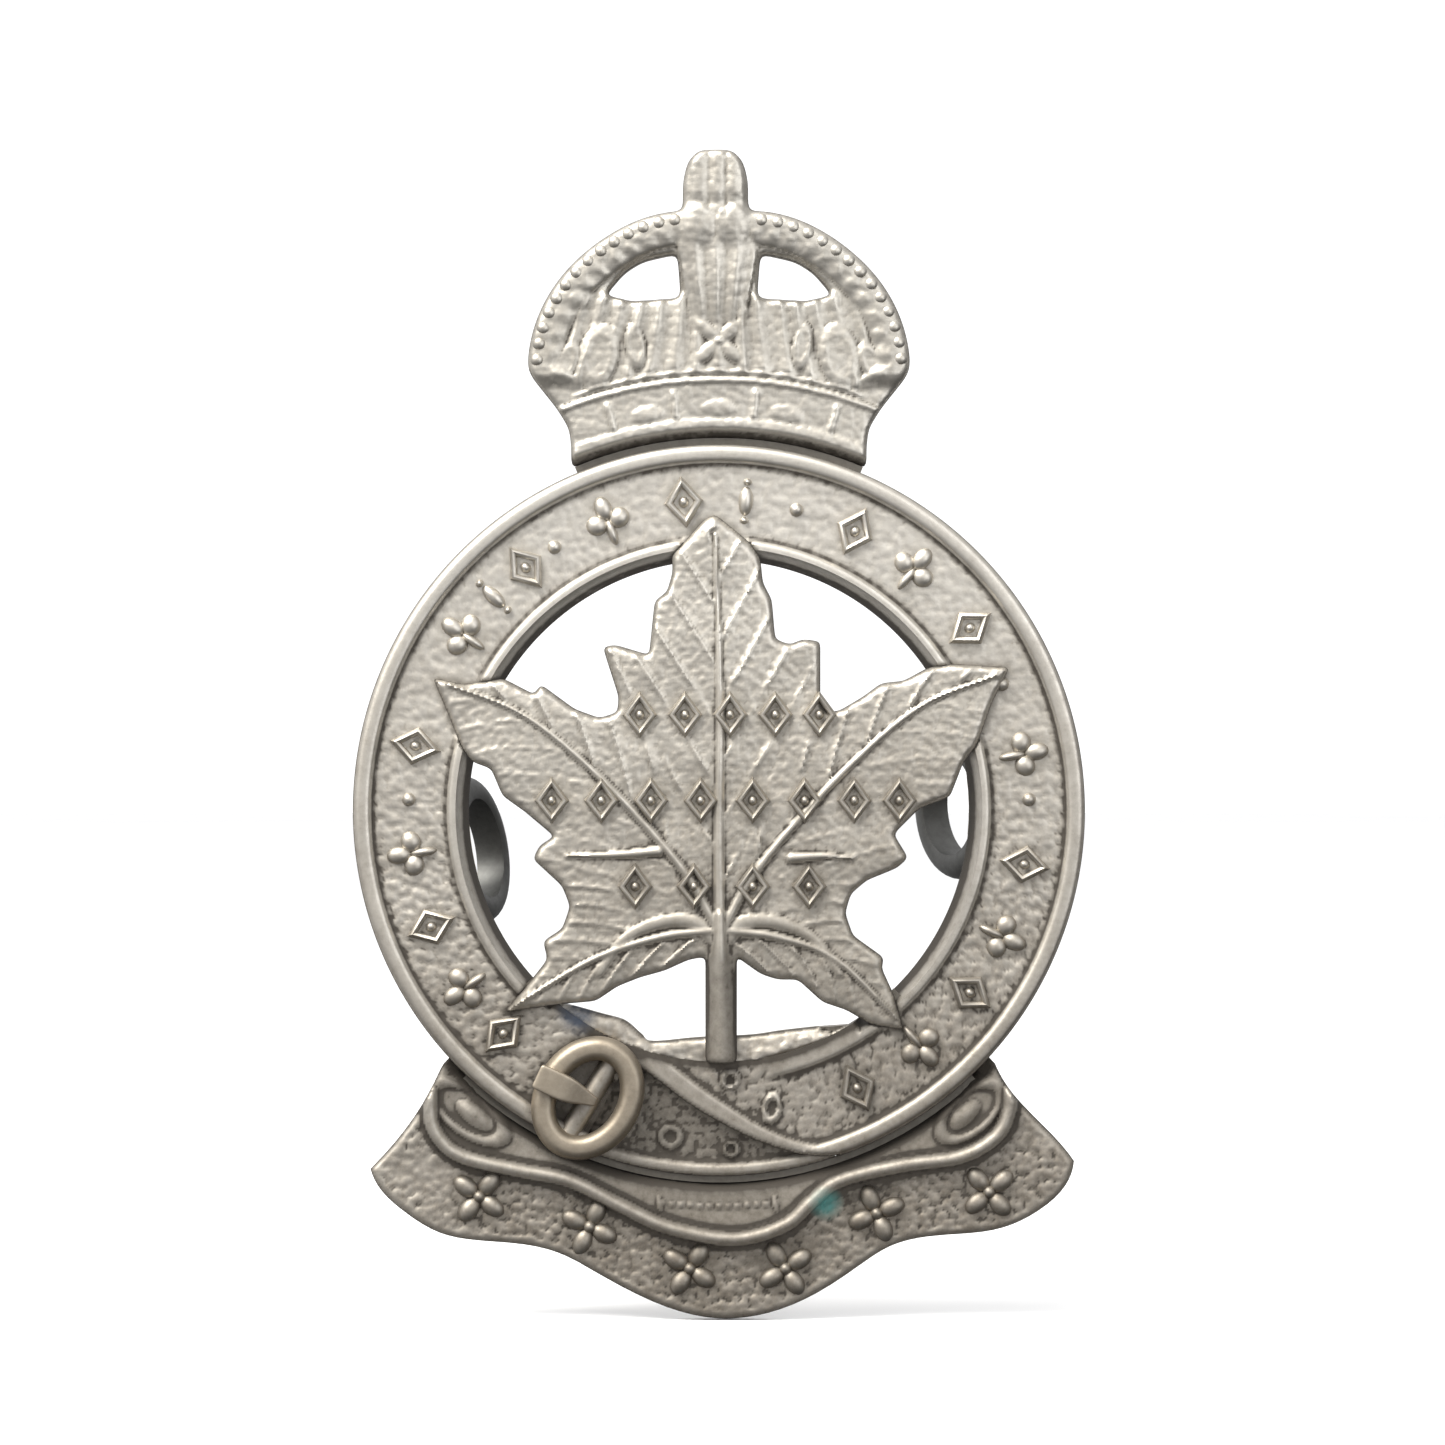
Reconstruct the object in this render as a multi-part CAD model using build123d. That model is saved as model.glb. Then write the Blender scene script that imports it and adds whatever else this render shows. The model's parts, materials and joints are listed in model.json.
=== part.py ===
"""Cap badge in struck white metal: a crown on a buckled garter ring, a maple leaf over the ring, a title
scroll under it, and two wire lugs on the back. Millimetres. The origin is the ring's centre on its back
plane, +Z is up and the front faces -Y, so a depth is measured forward from the back plane."""

import os
from math import asin, cos, degrees, hypot, radians, sin

from build123d import *

# Garter ring
ring_outer_radius = 16.25
ring_opening_radius = 11.15
opening_draft = 0.5
ring_depth = 1.6
ground_depth = 1.2
outer_rim_width = 0.75
inner_rim_width = 0.5
rim_slope = 0.1
back_land_width = 2.3
back_wall_width = 0.95
back_hollow_depth = 0.5

# Strap tail, which shows where the strap narrows towards its buckle
tail_back_depth = 0.2
tail_sink = 0.3
tail_lip_width = 0.5
eyelet_radius = 0.45
eyelet_angle = -7.5
eyelet_inset = 1.6

# Buckle
buckle_angle = -24.5
buckle_overhang = 0.65
buckle_outset = 0.3
buckle_width = 4.75
buckle_wire = 1.1
buckle_lean = 31.0
buckle_thickness = 1.2
buckle_chamfer = 0.33
bar_offset = 0.1
bar_width = 0.95
tongue_width = 0.95
tongue_thickness = 0.5
tongue_turn = 6.0

# Maple leaf
leaf_lap = 2.0
leaf_thickness = 0.8
vein_height = 0.3
vein_width = 0.55

# Crown
crown_width = 17.0
crown_back_depth = 0.2
crown_depth = 1.1
arch_depth = 1.5
arch_width = 1.15
circlet_height = 2.35
circlet_foot = 0.35
jewel_depth = 1.8
jewel_radius = 0.55
jewel_angles = [-10.0, 0.0, 10.0]
finial_width = 2.9
finial_height = 2.75
finial_shift = -0.15

# Title scroll
scroll_width = 31.3
scroll_back_depth = 0.2
scroll_depth = 1.1
scroll_lip_depth = 1.6
scroll_lip_width = 0.6
curl_depth = 1.5

# Ornament that stands where a badge carries its lettering
ornament_height = 0.35
lozenge_length = 2.3
lozenge_width = 1.1
leaf_lozenge_length = 1.85
pellet_radius = 0.35
rosette_radius = 1.1

# Lugs: closed loops of half-round wire, filed flat at the foot and brazed on
lug_eye_radius = 2.25
lug_wire_width = 1.3
lug_wire_thickness = 1.1
lug_eye_clear = 0.4
lug_foot_inset = 0.95
left_lug_angle = 189.4
left_lug_lean = 18.0
right_lug_angle = 1.0
right_lug_lean = 28.0
braze_margin = 0.45
braze_height = 0.2

# Solder seams
seam_width = 0.3
seam_back_depth = 0.3
seam_depth = 0.9
leaf_fillet = 0.45
crown_seam_inset = 1.0
scroll_seam_inset = 5.0

# Right half of the crown, drawn above the ring's top: the arch, then the side down to the foot
crown_arch = [(1.9, 10.35), (3.6, 9.95), (5.4, 8.95), (7.2, 7.2), (8.15, 5.4), (8.5, 3.5)]
crown_side = [(8.5, 3.5), (8.4, 3.1), (7.2, 1.6), (6.65, 0.7), (6.55, -0.2), (6.6, -2.0)]
crown_window = [(1.7, 6.5), (1.85, 8.5), (3.4, 8.15), (4.2, 7.65), (5.05, 6.65), (3.9, 6.35)]
middle_arch = [(0.85, 2.4), (0.95, 6.0), (1.25, 8.5), (1.75, 10.2)]
finial_foot = 8.0
finial_base = 10.3
# The finial's shoulder, as a share of its half width and a drop from its crest
finial_shoulder = [(1.0, 1.4), (0.85, 0.5), (0.5, 0.0)]

# The leaf's two edges from the top tip down to the stem
leaf_right = [
    (0.7, 12.45), (1.45, 11.8), (1.85, 11.15), (1.95, 10.1), (2.35, 9.35), (2.5, 7.6), (3.15, 7.35),
    (3.7, 7.6), (4.5, 7.5), (4.5, 4.9), (4.75, 4.4), (5.3, 4.4), (6.4, 5.05), (7.2, 5.65), (8.2, 5.75),
    (9.3, 6.35), (10.5, 6.5), (12.9, 6.35), (12.1, 4.75), (11.45, 2.9), (10.85, 2.15), (10.25, 0.6),
    (8.9, 0.1), (7.75, -1.05), (8.4, -2.1), (7.9, -2.55), (6.55, -3.1), (5.85, -3.7), (5.6, -4.55),
    (5.95, -5.55), (7.35, -6.55), (7.2, -6.95), (7.75, -8.15), (8.2, -9.75), (6.75, -9.5), (5.65, -8.85),
    (4.6, -8.5), (3.5, -7.5), (2.6, -7.5), (1.85, -7.25), (0.8, -6.5)]
leaf_left = [
    (-0.75, 12.85), (-1.4, 12.05), (-2.1, 11.35), (-2.05, 10.6), (-2.3, 9.7), (-2.85, 9.3), (-3.1, 6.9),
    (-4.6, 7.35), (-5.15, 7.25), (-4.95, 6.6), (-4.45, 5.05), (-4.5, 4.35), (-5.3, 4.1), (-6.4, 4.5),
    (-7.9, 5.6), (-8.2, 5.15), (-9.55, 5.85), (-11.35, 5.6), (-12.7, 5.9), (-12.0, 4.25), (-11.45, 2.85),
    (-10.95, 2.15), (-10.1, 1.85), (-9.6, 0.65), (-8.55, -0.1), (-7.3, -1.15), (-7.95, -1.55),
    (-8.25, -2.15), (-6.95, -3.35), (-6.6, -4.25), (-6.95, -5.25), (-7.8, -5.8), (-7.6, -6.6),
    (-8.55, -7.8), (-9.55, -8.95), (-7.1, -8.6), (-5.45, -8.45), (-4.5, -7.8), (-3.5, -7.4),
    (-2.4, -7.1), (-1.3, -6.6), (-0.6, -6.5)]
leaf_tip = (-0.2, 13.15)
stem_foot = [(0.8, -11.2), (-0.6, -11.2)]
stem_base = (0.1, -11.0)
vein_base = (0.0, -5.6)
vein_ends = [(-0.1, 11.2), (-10.7, 4.9), (11.0, 4.9), (-8.6, -8.3), (7.5, -9.0)]
side_veins = [((0, 4.0), (-3.3, 6.3)), ((0, 4.0), (3.2, 6.4)), ((-3.0, -1.2), (-7.3, -2.2)),
              ((3.0, -1.2), (7.3, -2.5))]
leaf_rows = [(4.25, [-3.5, -1.4, 0.7, 2.8, 4.9]), (0.45, [-7.7, -5.4, -3.1, -0.8, 1.5, 3.8, 6.1, 8.2]),
             (-3.35, [-3.7, -1.1, 1.5, 4.0])]

# The scroll, drawn below the ring's bottom
scroll_right = [(12.2, 5.2), (13.0, 3.75), (14.3, 2.35), (15.8, 0.65)]
scroll_bottom = [(15.8, 0.65), (15.5, -0.3), (14.3, -1.5), (12.5, -2.35), (9.9, -2.65), (7.6, -3.15),
                 (6.1, -4.1), (3.6, -5.6), (0.0, -6.35), (-3.5, -5.35), (-5.3, -4.4), (-7.1, -3.45),
                 (-9.8, -2.95), (-12.4, -2.55), (-14.0, -1.6), (-15.2, -0.4), (-15.5, 0.3)]
scroll_left = [(-15.5, 0.3), (-14.0, 2.0), (-13.0, 3.5), (-12.4, 4.7)]
scroll_lip = [(-12.8, 3.75), (-12.6, 2.0), (-11.3, 0.85), (-8.9, 0.35), (-6.65, -0.15), (-4.4, -1.3),
              (-2.2, -2.3), (0.7, -2.75), (2.95, -2.15), (4.15, -1.05), (5.4, -0.15), (8.1, 0.5),
              (10.75, 0.85), (12.5, 2.0), (12.95, 3.3)]
curls = [(-11.0, 2.95, 3.3, 1.7, -45), (10.8, 2.75, 2.4, 1.6, 60)]
rosette_places = [(-10.65, -0.9), (-5.75, -2.25), (-1.3, -4.05), (2.95, -4.05), (6.95, -1.6), (12.1, -0.7)]

# Angles from straight down, with the share of the band that the strap has lost there
strap_edge = [(25.0, 0.0), (17.0, 0.04), (8.5, 0.24), (1.0, 0.45), (-7.5, 0.66), (-14.0, 0.8), (-20.0, 0.85)]
# Angles from straight down, with the mound's height over the opening's edge
mound_line = [(-43, -0.5), (-36, 0.35), (-30, 0.7), (-24, 0.9), (-19, 0.6), (-16, 0.45), (-5, 1.0), (8, 1.05),
              (16, 0.95), (24, 0.6), (28, -0.1), (34, -0.5)]
mound_foot = [20, 0, -24]
# Angles clockwise from the top of what stands on the ring's ground: long ornaments and pellets
lozenge_angles = [-136, -125, -112, -98, -78, -55.5, -46.5, -38.5, -21, -6.5, 5, 26, 39, 54, 79.5, 100, 114,
                  126, 139.5, 153.5]
pellet_angles = [-88, -32, 14.5, 66, 88]
# Angles clockwise from the top of the leaf's solder fillets, with half their length
leaf_seams = [(-1.5, 7.0), (65.5, 6.0), (-69.0, 5.0), (137.5, 2.0), (-133.5, 1.5)]

# How far a cut passes what it cuts
OVER = 1.0


def plate(face, back, front):
    """The solid that a flat shape makes between two depths."""
    return extrude(Plane.XZ.offset(back) * face, front - back)


def on_ring(angle, radius):
    """The place at an angle clockwise from the ring's top."""
    return (radius * sin(radians(angle)), radius * cos(radians(angle)))


def from_bottom(angle, radius):
    """The place at an angle from straight down, towards +X."""
    return (radius * sin(radians(angle)), -radius * cos(radians(angle)))


def fitted(points, scale, rise=0.0):
    """Drawn points, scaled and then raised."""
    return [(x * scale, z * scale + rise) for x, z in points]


def closed(*lines):
    """The flat shape inside lines that meet end to end."""
    return make_face(Wire([edge for line in lines for edge in line.edges()]))


def strip(points, width):
    """A band of one width along a smooth line."""
    return trace(Spline(*points), width)


def ring_band(inner, outer):
    return Circle(outer) - Circle(inner)


def sector(middle, half_angle, radius):
    """A wedge about an angle clockwise from the top."""
    corners = [on_ring(middle + half_angle * share, radius / cos(radians(half_angle / 2)))
               for share in (-1, -0.5, 0, 0.5, 1)]
    return make_face(Polyline((0, 0), *corners, close=True))


def lozenge(length, width):
    return make_face(Polyline((0, length / 2), (width / 2, 0), (0, -length / 2), (-width / 2, 0), close=True))


# ---- Garter ring

band_width = ring_outer_radius - ring_opening_radius
hollow_inner = ring_opening_radius + back_land_width
hollow_outer = ring_outer_radius - back_wall_width
rim_inner_radius = ring_opening_radius + opening_draft
ground_inner = rim_inner_radius + inner_rim_width
ground_outer = ring_outer_radius - outer_rim_width
letter_radius = (ground_inner + ground_outer) / 2


def strap_edge_points():
    return [from_bottom(angle, ring_outer_radius - share * band_width) for angle, share in strap_edge]


def below_strap():
    """What lies outside the narrowing strap at the bottom of the ring."""
    line = strap_edge_points()
    beyond = ring_outer_radius * 1.5
    return closed(Spline(*line), Polyline(line[-1], from_bottom(buckle_angle, beyond), (0, -beyond),
                                          from_bottom(60, beyond), line[0]))


def mound_face():
    """The bank that closes the bottom of the opening."""
    top = [from_bottom(angle, ring_opening_radius - rise) for angle, rise in mound_line]
    inside = ring_opening_radius + back_land_width / 2
    foot = [from_bottom(angle, inside) for angle in mound_foot]
    return closed(Polyline(*top), Polyline(top[-1], *foot, top[0]))


def ring_blank():
    """The whole ring, turned: drafted opening, two rims, sunk ground and hollow back."""
    profile = [
        (ring_opening_radius, 0), (hollow_inner, 0), (hollow_inner + rim_slope, back_hollow_depth),
        (hollow_outer - rim_slope, back_hollow_depth), (hollow_outer, 0), (ring_outer_radius, 0),
        (ring_outer_radius, ring_depth), (ground_outer, ring_depth), (ground_outer - rim_slope, ground_depth),
        (ground_inner + rim_slope, ground_depth), (ground_inner, ring_depth), (rim_inner_radius, ring_depth)]
    face = make_face(Polyline(*[(radius, -depth) for radius, depth in profile], close=True))
    return revolve(face, Axis.Y)


def ring_ornaments():
    shape = lozenge(lozenge_length, lozenge_width)
    long_ones = [Pos(*on_ring(angle, letter_radius)) * Rot(0, 0, -angle) * shape for angle in lozenge_angles]
    pellets = [Pos(*on_ring(angle, letter_radius)) * Circle(pellet_radius) for angle in pellet_angles]
    return plate(Sketch() + long_ones + pellets, ground_depth, ground_depth + ornament_height)


def make_garter_strap():
    below = below_strap()
    lip = (strip(strap_edge_points(), 2 * inner_rim_width) & Circle(ring_outer_radius)) - below
    ring = ring_blank() + plate(mound_face(), 0, ground_depth) + ring_ornaments()
    ring -= plate(below, -OVER, ring_depth + OVER)
    ring += plate(lip, ground_depth, ring_depth)
    ring -= plate(leaf_face(), ground_depth, ring_depth + OVER)
    ring -= plate(buckle_outline(), ground_depth, ring_depth + OVER)
    return ring


def make_strap_tail():
    """The strap's loose end, tucked under the narrowing strap."""
    face = below_strap() & ring_band(ring_opening_radius, ring_outer_radius)
    lip = below_strap() & ring_band(ring_outer_radius - tail_lip_width, ring_outer_radius)
    place = from_bottom(eyelet_angle, ring_outer_radius - eyelet_inset)
    eyelet = Pos(*place) * ring_band(eyelet_radius / 2, eyelet_radius)
    front = ground_depth - tail_sink
    tail = plate(face, tail_back_depth, front) + plate(lip, front, ground_depth)
    return tail + plate(eyelet, front, ground_depth)


# ---- Buckle

buckle_length = band_width + buckle_overhang


def buckle_place():
    """The buckle's centre on the band, turned as the strap lies."""
    x, z = from_bottom(buckle_angle, (ring_outer_radius + ring_opening_radius) / 2 + buckle_outset)
    return Pos(x, z) * Rot(0, 0, -buckle_lean)


def buckle_outline():
    return buckle_place() * Ellipse(buckle_width / 2, buckle_length / 2)


def make_buckle_frame():
    """The oval frame, with the bar that the tongue reaches."""
    front = ground_depth + buckle_thickness
    hole = buckle_place() * Ellipse(buckle_width / 2 - buckle_wire, buckle_length / 2 - buckle_wire)
    frame = plate(buckle_outline() - hole, ground_depth, front)
    frame = chamfer(frame.faces().sort_by(Axis.Y)[0].edges(), buckle_chamfer)
    bar = buckle_place() * Pos(bar_offset, 0) * Rectangle(bar_width, buckle_length - buckle_wire)
    return frame + plate(bar & hole, ground_depth, ground_depth + buckle_thickness / 2)


def make_buckle_tongue():
    """The tongue, over the frame's left side and down to a point on the bar."""
    half = tongue_width / 2
    reach = buckle_width / 2
    face = make_face(Polyline((-reach, half), (-half, half), (half, 0), (-half, -half), (-reach, -half),
                              (-reach - half / 2, 0), close=True))
    back = ground_depth + buckle_thickness
    return plate(buckle_place() * Rot(0, 0, tongue_turn) * face, back, back + tongue_thickness)


# ---- Maple leaf

leaf_scale = (ring_opening_radius + leaf_lap) / leaf_tip[1]
leaf_back = ground_depth
leaf_front = leaf_back + leaf_thickness


def leaf_face():
    outline = [leaf_tip] + leaf_right + stem_foot + leaf_left[::-1]
    return make_face(Polyline(*fitted(outline, leaf_scale), close=True))


def vein(start, end, width):
    """A ridge that narrows to a point."""
    (x0, z0), (x1, z1) = fitted([start, end], leaf_scale)
    length = hypot(x1 - x0, z1 - z0)
    across = (-(z1 - z0) / length * width / 2, (x1 - x0) / length * width / 2)
    corners = [(x0 + across[0], z0 + across[1]), (x1, z1), (x0 - across[0], z0 - across[1])]
    return make_face(Polyline(*corners, close=True))


def make_maple_leaf():
    face = leaf_face()
    ridges = [vein(vein_base, end, vein_width) for end in vein_ends]
    ridges += [vein(start, end, vein_width / 2) for start, end in side_veins]
    ridges.append(vein(stem_base, vein_base, 2 * vein_width))
    leaf = plate(face, leaf_back, leaf_front) + plate(Sketch() + ridges & face, leaf_front,
                                                      leaf_front + vein_height)
    marks = [Pos(x * leaf_scale, z * leaf_scale) * lozenge(leaf_lozenge_length, lozenge_width)
             for z, places in leaf_rows for x in places]
    return leaf + plate(Sketch() + marks & face, leaf_front, leaf_front + ornament_height)


def make_leaf_solder():
    """Fillets in the corner between the leaf's back and the drafted opening."""
    draft = opening_draft / ring_depth
    wall = ring_opening_radius + draft * leaf_back
    corners = [(wall, -leaf_back), (wall - draft * leaf_fillet, -leaf_back + leaf_fillet),
               (wall - leaf_fillet, -leaf_back)]
    profile = make_face(Polyline(*corners, close=True))
    return [Rot(0, middle - 90 - half, 0) * revolve(profile, Axis.Y, 2 * half) for middle, half in leaf_seams]


# ---- Crown

crown_scale = crown_width / (2 * crown_arch[-1][0])
crown_foot_radius = ring_outer_radius + seam_width


def mirrored(face):
    return Sketch() + face + mirror(face, Plane.YZ)


def crown_points(points):
    return fitted(points, crown_scale, ring_outer_radius)


def crown_half():
    arch = crown_points(crown_arch)
    side = crown_points(crown_side)
    return closed(Spline(*arch), Polyline(*side, (0, side[-1][1]), (0, arch[0][1]), arch[0]))


def finial_face():
    """The orb and cross, drawn together as one upright block."""
    foot, base = crown_points([(0, finial_foot), (0, finial_base)])
    half = finial_width / 2
    crest = base[1] + finial_height
    right = [(half, foot[1])] + [(half * share, crest - drop) for share, drop in finial_shoulder]
    left = [(-x, z) for x, z in right[::-1]]
    return Pos(finial_shift, 0) * make_face(Polyline(*right, *left, close=True))


def make_crown():
    foot = Circle(crown_foot_radius)
    window = mirrored(make_face(Polyline(*crown_points(crown_window), close=True)))
    outline = mirrored(crown_half()) - foot - window
    arch_line = crown_points(crown_arch) + [crown_points(crown_side)[1]]
    sides = (arch_line, [(-x, z) for x, z in arch_line])
    arches = (Sketch() + [strip(side, 2 * arch_width) for side in sides]) & outline
    middle = crown_points(middle_arch)
    column = mirrored(make_face(Polyline((0, middle[0][1]), *middle, (0, middle[-1][1]), close=True)))
    circlet_radius = crown_foot_radius + circlet_foot
    circlet = outline & ring_band(circlet_radius, circlet_radius + circlet_height)
    jewels = [Pos(*on_ring(angle, circlet_radius + circlet_height / 2)) * Circle(jewel_radius)
              for angle in jewel_angles]
    crown = plate(outline, crown_back_depth, crown_depth) + plate(arches, crown_depth, arch_depth)
    crown += plate(circlet, crown_depth, arch_depth)
    crown += plate(column - window, crown_depth, arch_depth)
    crown += plate(Sketch() + jewels, arch_depth, jewel_depth)
    return crown + plate(finial_face() - window, crown_back_depth, jewel_depth)


# ---- Title scroll

scroll_scale = scroll_width / (scroll_right[-1][0] - scroll_left[0][0])


def scroll_points(points):
    return fitted(points, scroll_scale, -ring_outer_radius)


def make_title_scroll():
    right, bottom, left = [scroll_points(line) for line in (scroll_right, scroll_bottom, scroll_left)]
    above = -ring_outer_radius * cos(asin(min(1, right[0][0] / ring_outer_radius))) + OVER
    outline = closed(Spline(*right), Spline(*bottom), Spline(*left),
                     Polyline(left[-1], (left[-1][0] + OVER, above), (right[0][0] - OVER, above), right[0]))
    outline -= Circle(ring_outer_radius + seam_width)
    lip = strip(scroll_points(scroll_lip), scroll_lip_width) & outline
    rolls = []
    for x, z, length, width, turn in curls:
        (place,) = scroll_points([(x, z)])
        rolls.append(Pos(*place) * Rot(0, 0, turn) * Ellipse(length / 2, width / 2))
    rosettes = [Pos(*place) * Circle(rosette_radius) for place in scroll_points(rosette_places)]
    scroll = plate(outline, scroll_back_depth, scroll_depth) + plate(lip, scroll_depth, scroll_lip_depth)
    scroll += plate(Sketch() + rolls & outline, scroll_depth, curl_depth)
    return scroll + plate(Sketch() + rosettes & outline, scroll_depth, scroll_depth + ornament_height)


# ---- Solder between the ring and what joins it

def seam_arc(middle, half_angle):
    band = ring_band(ring_outer_radius, ring_outer_radius + seam_width)
    return plate(band & sector(middle, half_angle, ring_outer_radius * 2), seam_back_depth, seam_depth)


def make_crown_solder():
    corner = crown_points(crown_side)[-2]
    return seam_arc(0, degrees(asin(min(1, corner[0] / ring_outer_radius))) - crown_seam_inset)


def make_scroll_solder():
    corner = scroll_points(scroll_right)[0]
    return seam_arc(180, degrees(asin(min(1, corner[0] / ring_outer_radius))) - scroll_seam_inset)


# ---- Lugs

lug_eye_height = lug_eye_radius + lug_eye_clear


def lug_plane(angle, lean):
    """A lug's own plane: x along the ring's tangent, y from the top of the loop down to its foot."""
    outward = Vector(cos(radians(angle)), 0, sin(radians(angle)))
    tangent = Vector(-sin(radians(angle)), 0, cos(radians(angle)))
    axis = outward * cos(radians(lean)) + Vector(0, sin(radians(lean)), 0)
    return Plane(outward * (ring_opening_radius + lug_foot_inset), x_dir=tangent, z_dir=axis)


def behind():
    """All that lies behind the back plane."""
    size = 8 * ring_outer_radius
    return Pos(0, size / 2, 0) * Box(size, size, size)


def make_lug(angle, lean):
    """A loop of half-round wire with its flat side to the eye."""
    half = lug_wire_width / 2
    inside = lug_eye_radius
    section = closed(Line((inside, -half), (inside, half)),
                     ThreePointArc((inside, half), (inside + lug_wire_thickness, 0), (inside, -half)))
    loop = revolve(Plane.XZ * section, Axis.Z)
    return lug_plane(angle, lean) * (Pos(0, -lug_eye_height, 0) * loop) & behind()


def make_lug_brazing():
    """An oval bead of braze round each lug's foot, flush with the opening."""
    opening = plate(Circle(ring_opening_radius), -OVER, OVER)
    foot = ((lug_eye_radius + lug_wire_thickness) ** 2 - lug_eye_height ** 2) ** 0.5
    beads = []
    for angle, lean in ((left_lug_angle, left_lug_lean), (right_lug_angle, right_lug_lean)):
        place = lug_plane(angle, lean)
        base = Plane(place.origin, x_dir=place.x_dir, z_dir=(0, 1, 0))
        half_width = lug_wire_width / 2 / cos(radians(lean))
        pad = base * Ellipse(foot + braze_margin, half_width + braze_margin)
        beads.append(extrude(pad, braze_height) - opening - make_lug(angle, lean))
    return beads


# ---- The badge

def save(name, shape):
    """Write one node, with every solid that it holds."""
    pieces = shape if isinstance(shape, list) else [shape]
    solids = [solid for piece in pieces for solid in piece.solids()]
    export_step(Compound(label=name, children=solids), f"parts/{name}.step")


def main():
    pieces = {
        "garter_strap": make_garter_strap(), "strap_tail": make_strap_tail(),
        "buckle_frame": make_buckle_frame(), "buckle_tongue": make_buckle_tongue(),
        "maple_leaf": make_maple_leaf(), "leaf_solder": make_leaf_solder(), "crown": make_crown(),
        "crown_solder": make_crown_solder(), "title_scroll": make_title_scroll(),
        "scroll_solder": make_scroll_solder(), "lug_left": make_lug(left_lug_angle, left_lug_lean),
        "lug_right": make_lug(right_lug_angle, right_lug_lean), "lug_brazing": make_lug_brazing()}
    os.makedirs("parts", exist_ok=True)
    for name, shape in pieces.items():
        save(name, shape)


main()
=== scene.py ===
"""A struck white-metal cap badge with a crown, a buckled garter ring, a maple leaf and a scroll.

Lengths in the classes are millimetres in the badge's own plane: x to the right, z up, and a depth forward
from the ring's back plane. MM turns them into the frame's metres.
"""

import json
import logging
import math
from dataclasses import dataclass, field
from enum import Enum
from typing import Callable, Iterable, Sequence

import bmesh
import bpy
import numpy as np
from mathutils import Matrix, Vector

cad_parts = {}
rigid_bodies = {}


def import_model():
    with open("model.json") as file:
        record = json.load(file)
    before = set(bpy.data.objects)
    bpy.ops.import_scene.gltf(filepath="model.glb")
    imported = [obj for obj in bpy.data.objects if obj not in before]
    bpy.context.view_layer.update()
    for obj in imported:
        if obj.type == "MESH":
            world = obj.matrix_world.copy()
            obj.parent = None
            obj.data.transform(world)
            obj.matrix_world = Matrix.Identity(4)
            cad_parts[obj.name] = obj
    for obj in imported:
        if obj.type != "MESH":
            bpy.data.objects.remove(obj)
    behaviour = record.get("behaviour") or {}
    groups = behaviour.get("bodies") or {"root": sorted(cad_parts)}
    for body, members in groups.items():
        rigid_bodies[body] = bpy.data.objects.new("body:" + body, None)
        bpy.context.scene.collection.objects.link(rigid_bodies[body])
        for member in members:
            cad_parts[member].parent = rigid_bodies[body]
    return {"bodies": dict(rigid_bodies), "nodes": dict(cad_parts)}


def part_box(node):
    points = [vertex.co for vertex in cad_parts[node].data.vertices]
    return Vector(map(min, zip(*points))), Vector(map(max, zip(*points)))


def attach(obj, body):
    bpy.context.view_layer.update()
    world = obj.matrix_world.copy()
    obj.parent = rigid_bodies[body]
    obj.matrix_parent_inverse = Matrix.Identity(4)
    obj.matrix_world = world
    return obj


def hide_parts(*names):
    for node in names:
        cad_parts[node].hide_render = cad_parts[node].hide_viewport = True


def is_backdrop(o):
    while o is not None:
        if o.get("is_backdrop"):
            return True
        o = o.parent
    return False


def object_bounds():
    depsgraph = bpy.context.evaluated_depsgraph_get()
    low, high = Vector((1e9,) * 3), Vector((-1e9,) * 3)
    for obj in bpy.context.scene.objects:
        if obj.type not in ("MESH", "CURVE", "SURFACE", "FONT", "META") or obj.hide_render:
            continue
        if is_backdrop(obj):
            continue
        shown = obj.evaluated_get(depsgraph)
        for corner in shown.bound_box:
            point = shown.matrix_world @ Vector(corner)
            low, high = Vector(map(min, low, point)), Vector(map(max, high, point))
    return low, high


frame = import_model()
CAD_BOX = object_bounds()

MM = 0.001
BODY = next(iter(frame["bodies"]))
log = logging.getLogger("cap_badge")

Line = Sequence[tuple[float, float]]
Colour = tuple[float, float, float, float]
DepthField = Callable[[np.ndarray, np.ndarray], np.ndarray]


class Slot(Enum):
    """The record's material slots."""

    STRUCK = "struck_white_metal"
    BUCKLE = "buckle_metal"
    SOLDER = "soft_solder"
    WIRE = "lug_wire"
    BRAZE = "braze"


# ---------------------------------------------------------------- shader sums


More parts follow.
